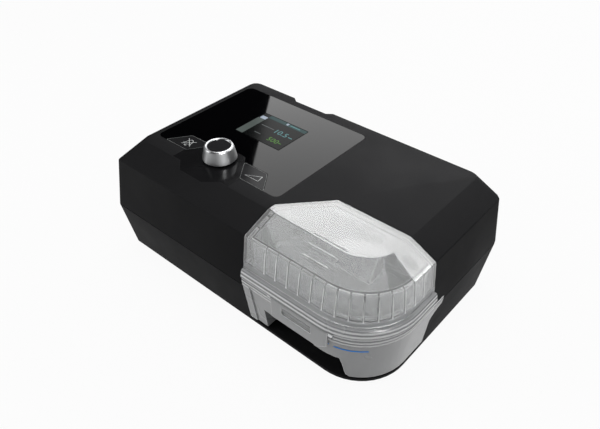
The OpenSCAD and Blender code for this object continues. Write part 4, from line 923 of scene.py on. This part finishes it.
# %% Surroundings
SCREEN_COUNT, SCREEN_TURN = 3.0, math.radians(19.0)
WAVE_DARK, WAVE_BRIGHT = -0.6, 0.8
CEILING_STARTS, CEILING_FULL = 0.2, 0.4
DARK, BRIGHT, SCATTERED = 0.02, 1.2, 0.4
world = bpy.data.worlds.new("studio")
bpy.context.scene.world = world
world.use_nodes = True
tree = world.node_tree
tree.nodes.clear()
toward = add_node(tree, "ShaderNodeTexCoord").outputs["Generated"]
toward = add_node(tree, "ShaderNodeSeparateXYZ", {"Vector": toward}).outputs
below_ceiling = remap(tree, toward["Z"], CEILING_STARTS, CEILING_FULL, 1.0, 0.0)
azimuth = calculate(tree, "ARCTAN2", toward["Y"], toward["X"])
turn = calculate(tree, "MULTIPLY_ADD", azimuth, SCREEN_COUNT, SCREEN_COUNT * SCREEN_TURN)
screens = remap(tree, calculate(tree, "COSINE", turn), WAVE_DARK, WAVE_BRIGHT, DARK,
                BRIGHT)
reflected = calculate(tree, "MULTIPLY_ADD", below_ceiling, screens, DARK)
level = mix_values(tree, any_ray(tree, "Glossy"), SCATTERED, reflected)
strength = mix_values(tree, any_ray(tree, "Camera", "Transmission"), level, 1.0)
sky = add_node(tree, "ShaderNodeBackground",
               {"Color": (1, 1, 1, 1), "Strength": strength})
add_node(tree, "ShaderNodeOutputWorld", {"Surface": sky.outputs["Background"]})
print("three screens round the object")

# %% [markdown]
# ## Lamps
#
# One large lamp above gives the soft light from the top, and one behind lifts
# the far walls. Neither is mirrored. Narrow upright lamps on the left and on
# the right give the knob's other streaks, and the strip in front gives its
# brightest one. The strip shows only in reflections.

# %% Lamps


def hide_from(thing, rays):
    for ray in rays:
        setattr(thing, "visible_" + ray, False)


def add_lamp(name, place, aim, size, watts, hidden_from=()):
    data = bpy.data.lights.new(name, "AREA")
    data.shape = "RECTANGLE"
    data.size, data.size_y = size
    data.energy = watts
    lamp = bpy.data.objects.new(name, data)
    bpy.context.collection.objects.link(lamp)
    lamp.location = place
    x, y, z = (a - p for a, p in zip(aim, place))
    lamp.rotation_euler = (math.atan2(math.hypot(x, y), -z), 0.0,
                           math.atan2(y, x) - math.pi / 2)
    hide_from(lamp, hidden_from)


CASE_MIDDLE, KNOB_HEIGHT = (0, 0, 0.05), (0, 0, 0.09)
add_lamp("top_lamp", (-0.1, 0.1, 1.5), (0, 0, 0), (1.2, 1.2), 16, ["glossy"])
add_lamp("left_lamp", (-1.0, -0.8, 0.7), CASE_MIDDLE, (0.35, 0.9), 6)
add_lamp("right_lamp", (1.1, 0.1, 0.6), CASE_MIDDLE, (0.4, 0.9), 1.5)
add_lamp("back_lamp", (0.5, 1.2, 0.7), CASE_MIDDLE, (0.6, 0.6), 5, ["glossy"])
add_lamp("strip_lamp", (0.69, -0.23, 1.02), KNOB_HEIGHT, (0.22, 0.8), 26,
         ["diffuse", "transmission"])
print("five lamps lit")

# %% [markdown]
# ## Bright card
#
# The right half of the glass shows a grey sheet of light with a straight
# edge. That is a bright card behind the machine, seen only as a reflection.
# Its edge was worked out by mirroring the camera in the glass, so the edge
# runs across the panel where the photograph shows it. It is a plane whose
# corners are moved: along that edge, and away from it.

# %% Bright card
CARD_Z = 0.9
CARD_GLOW = 7.0
CARD_START, CARD_END, CARD_DEPTH = -0.6, 1.4, 1.3
EDGE_FAR, EDGE_NEAR = (-1.148, 1.146), (-0.796, 0.667)
card_material, tree, shader, place = start_material("card_lit_paper")
tree.nodes.remove(shader)
glow = add_node(tree, "ShaderNodeEmission", {"Color": (1, 1, 1, 1), "Strength": CARD_GLOW})
tree.links.new(glow.outputs["Emission"], surface_of(tree))
card = add_plane("reflection_card", 1.0, (0, 0, CARD_Z))
along = unit_step(EDGE_FAR, EDGE_NEAR)
across = (-along[1], along[0])
card_corners = [(reach, out) for out in (0.0, CARD_DEPTH)
                for reach in (CARD_START, CARD_END)]
for vertex, (reach, out) in zip(card.data.vertices, card_corners):
    x, y = (e + a * reach + c * out for e, a, c in zip(EDGE_FAR, along, across))
    vertex.co = (x, y, CARD_Z)
card.data.materials.append(card_material)
hide_from(card, ["camera", "diffuse", "transmission"])
print("card edge", round(CARD_END - CARD_START, 1), "m long")
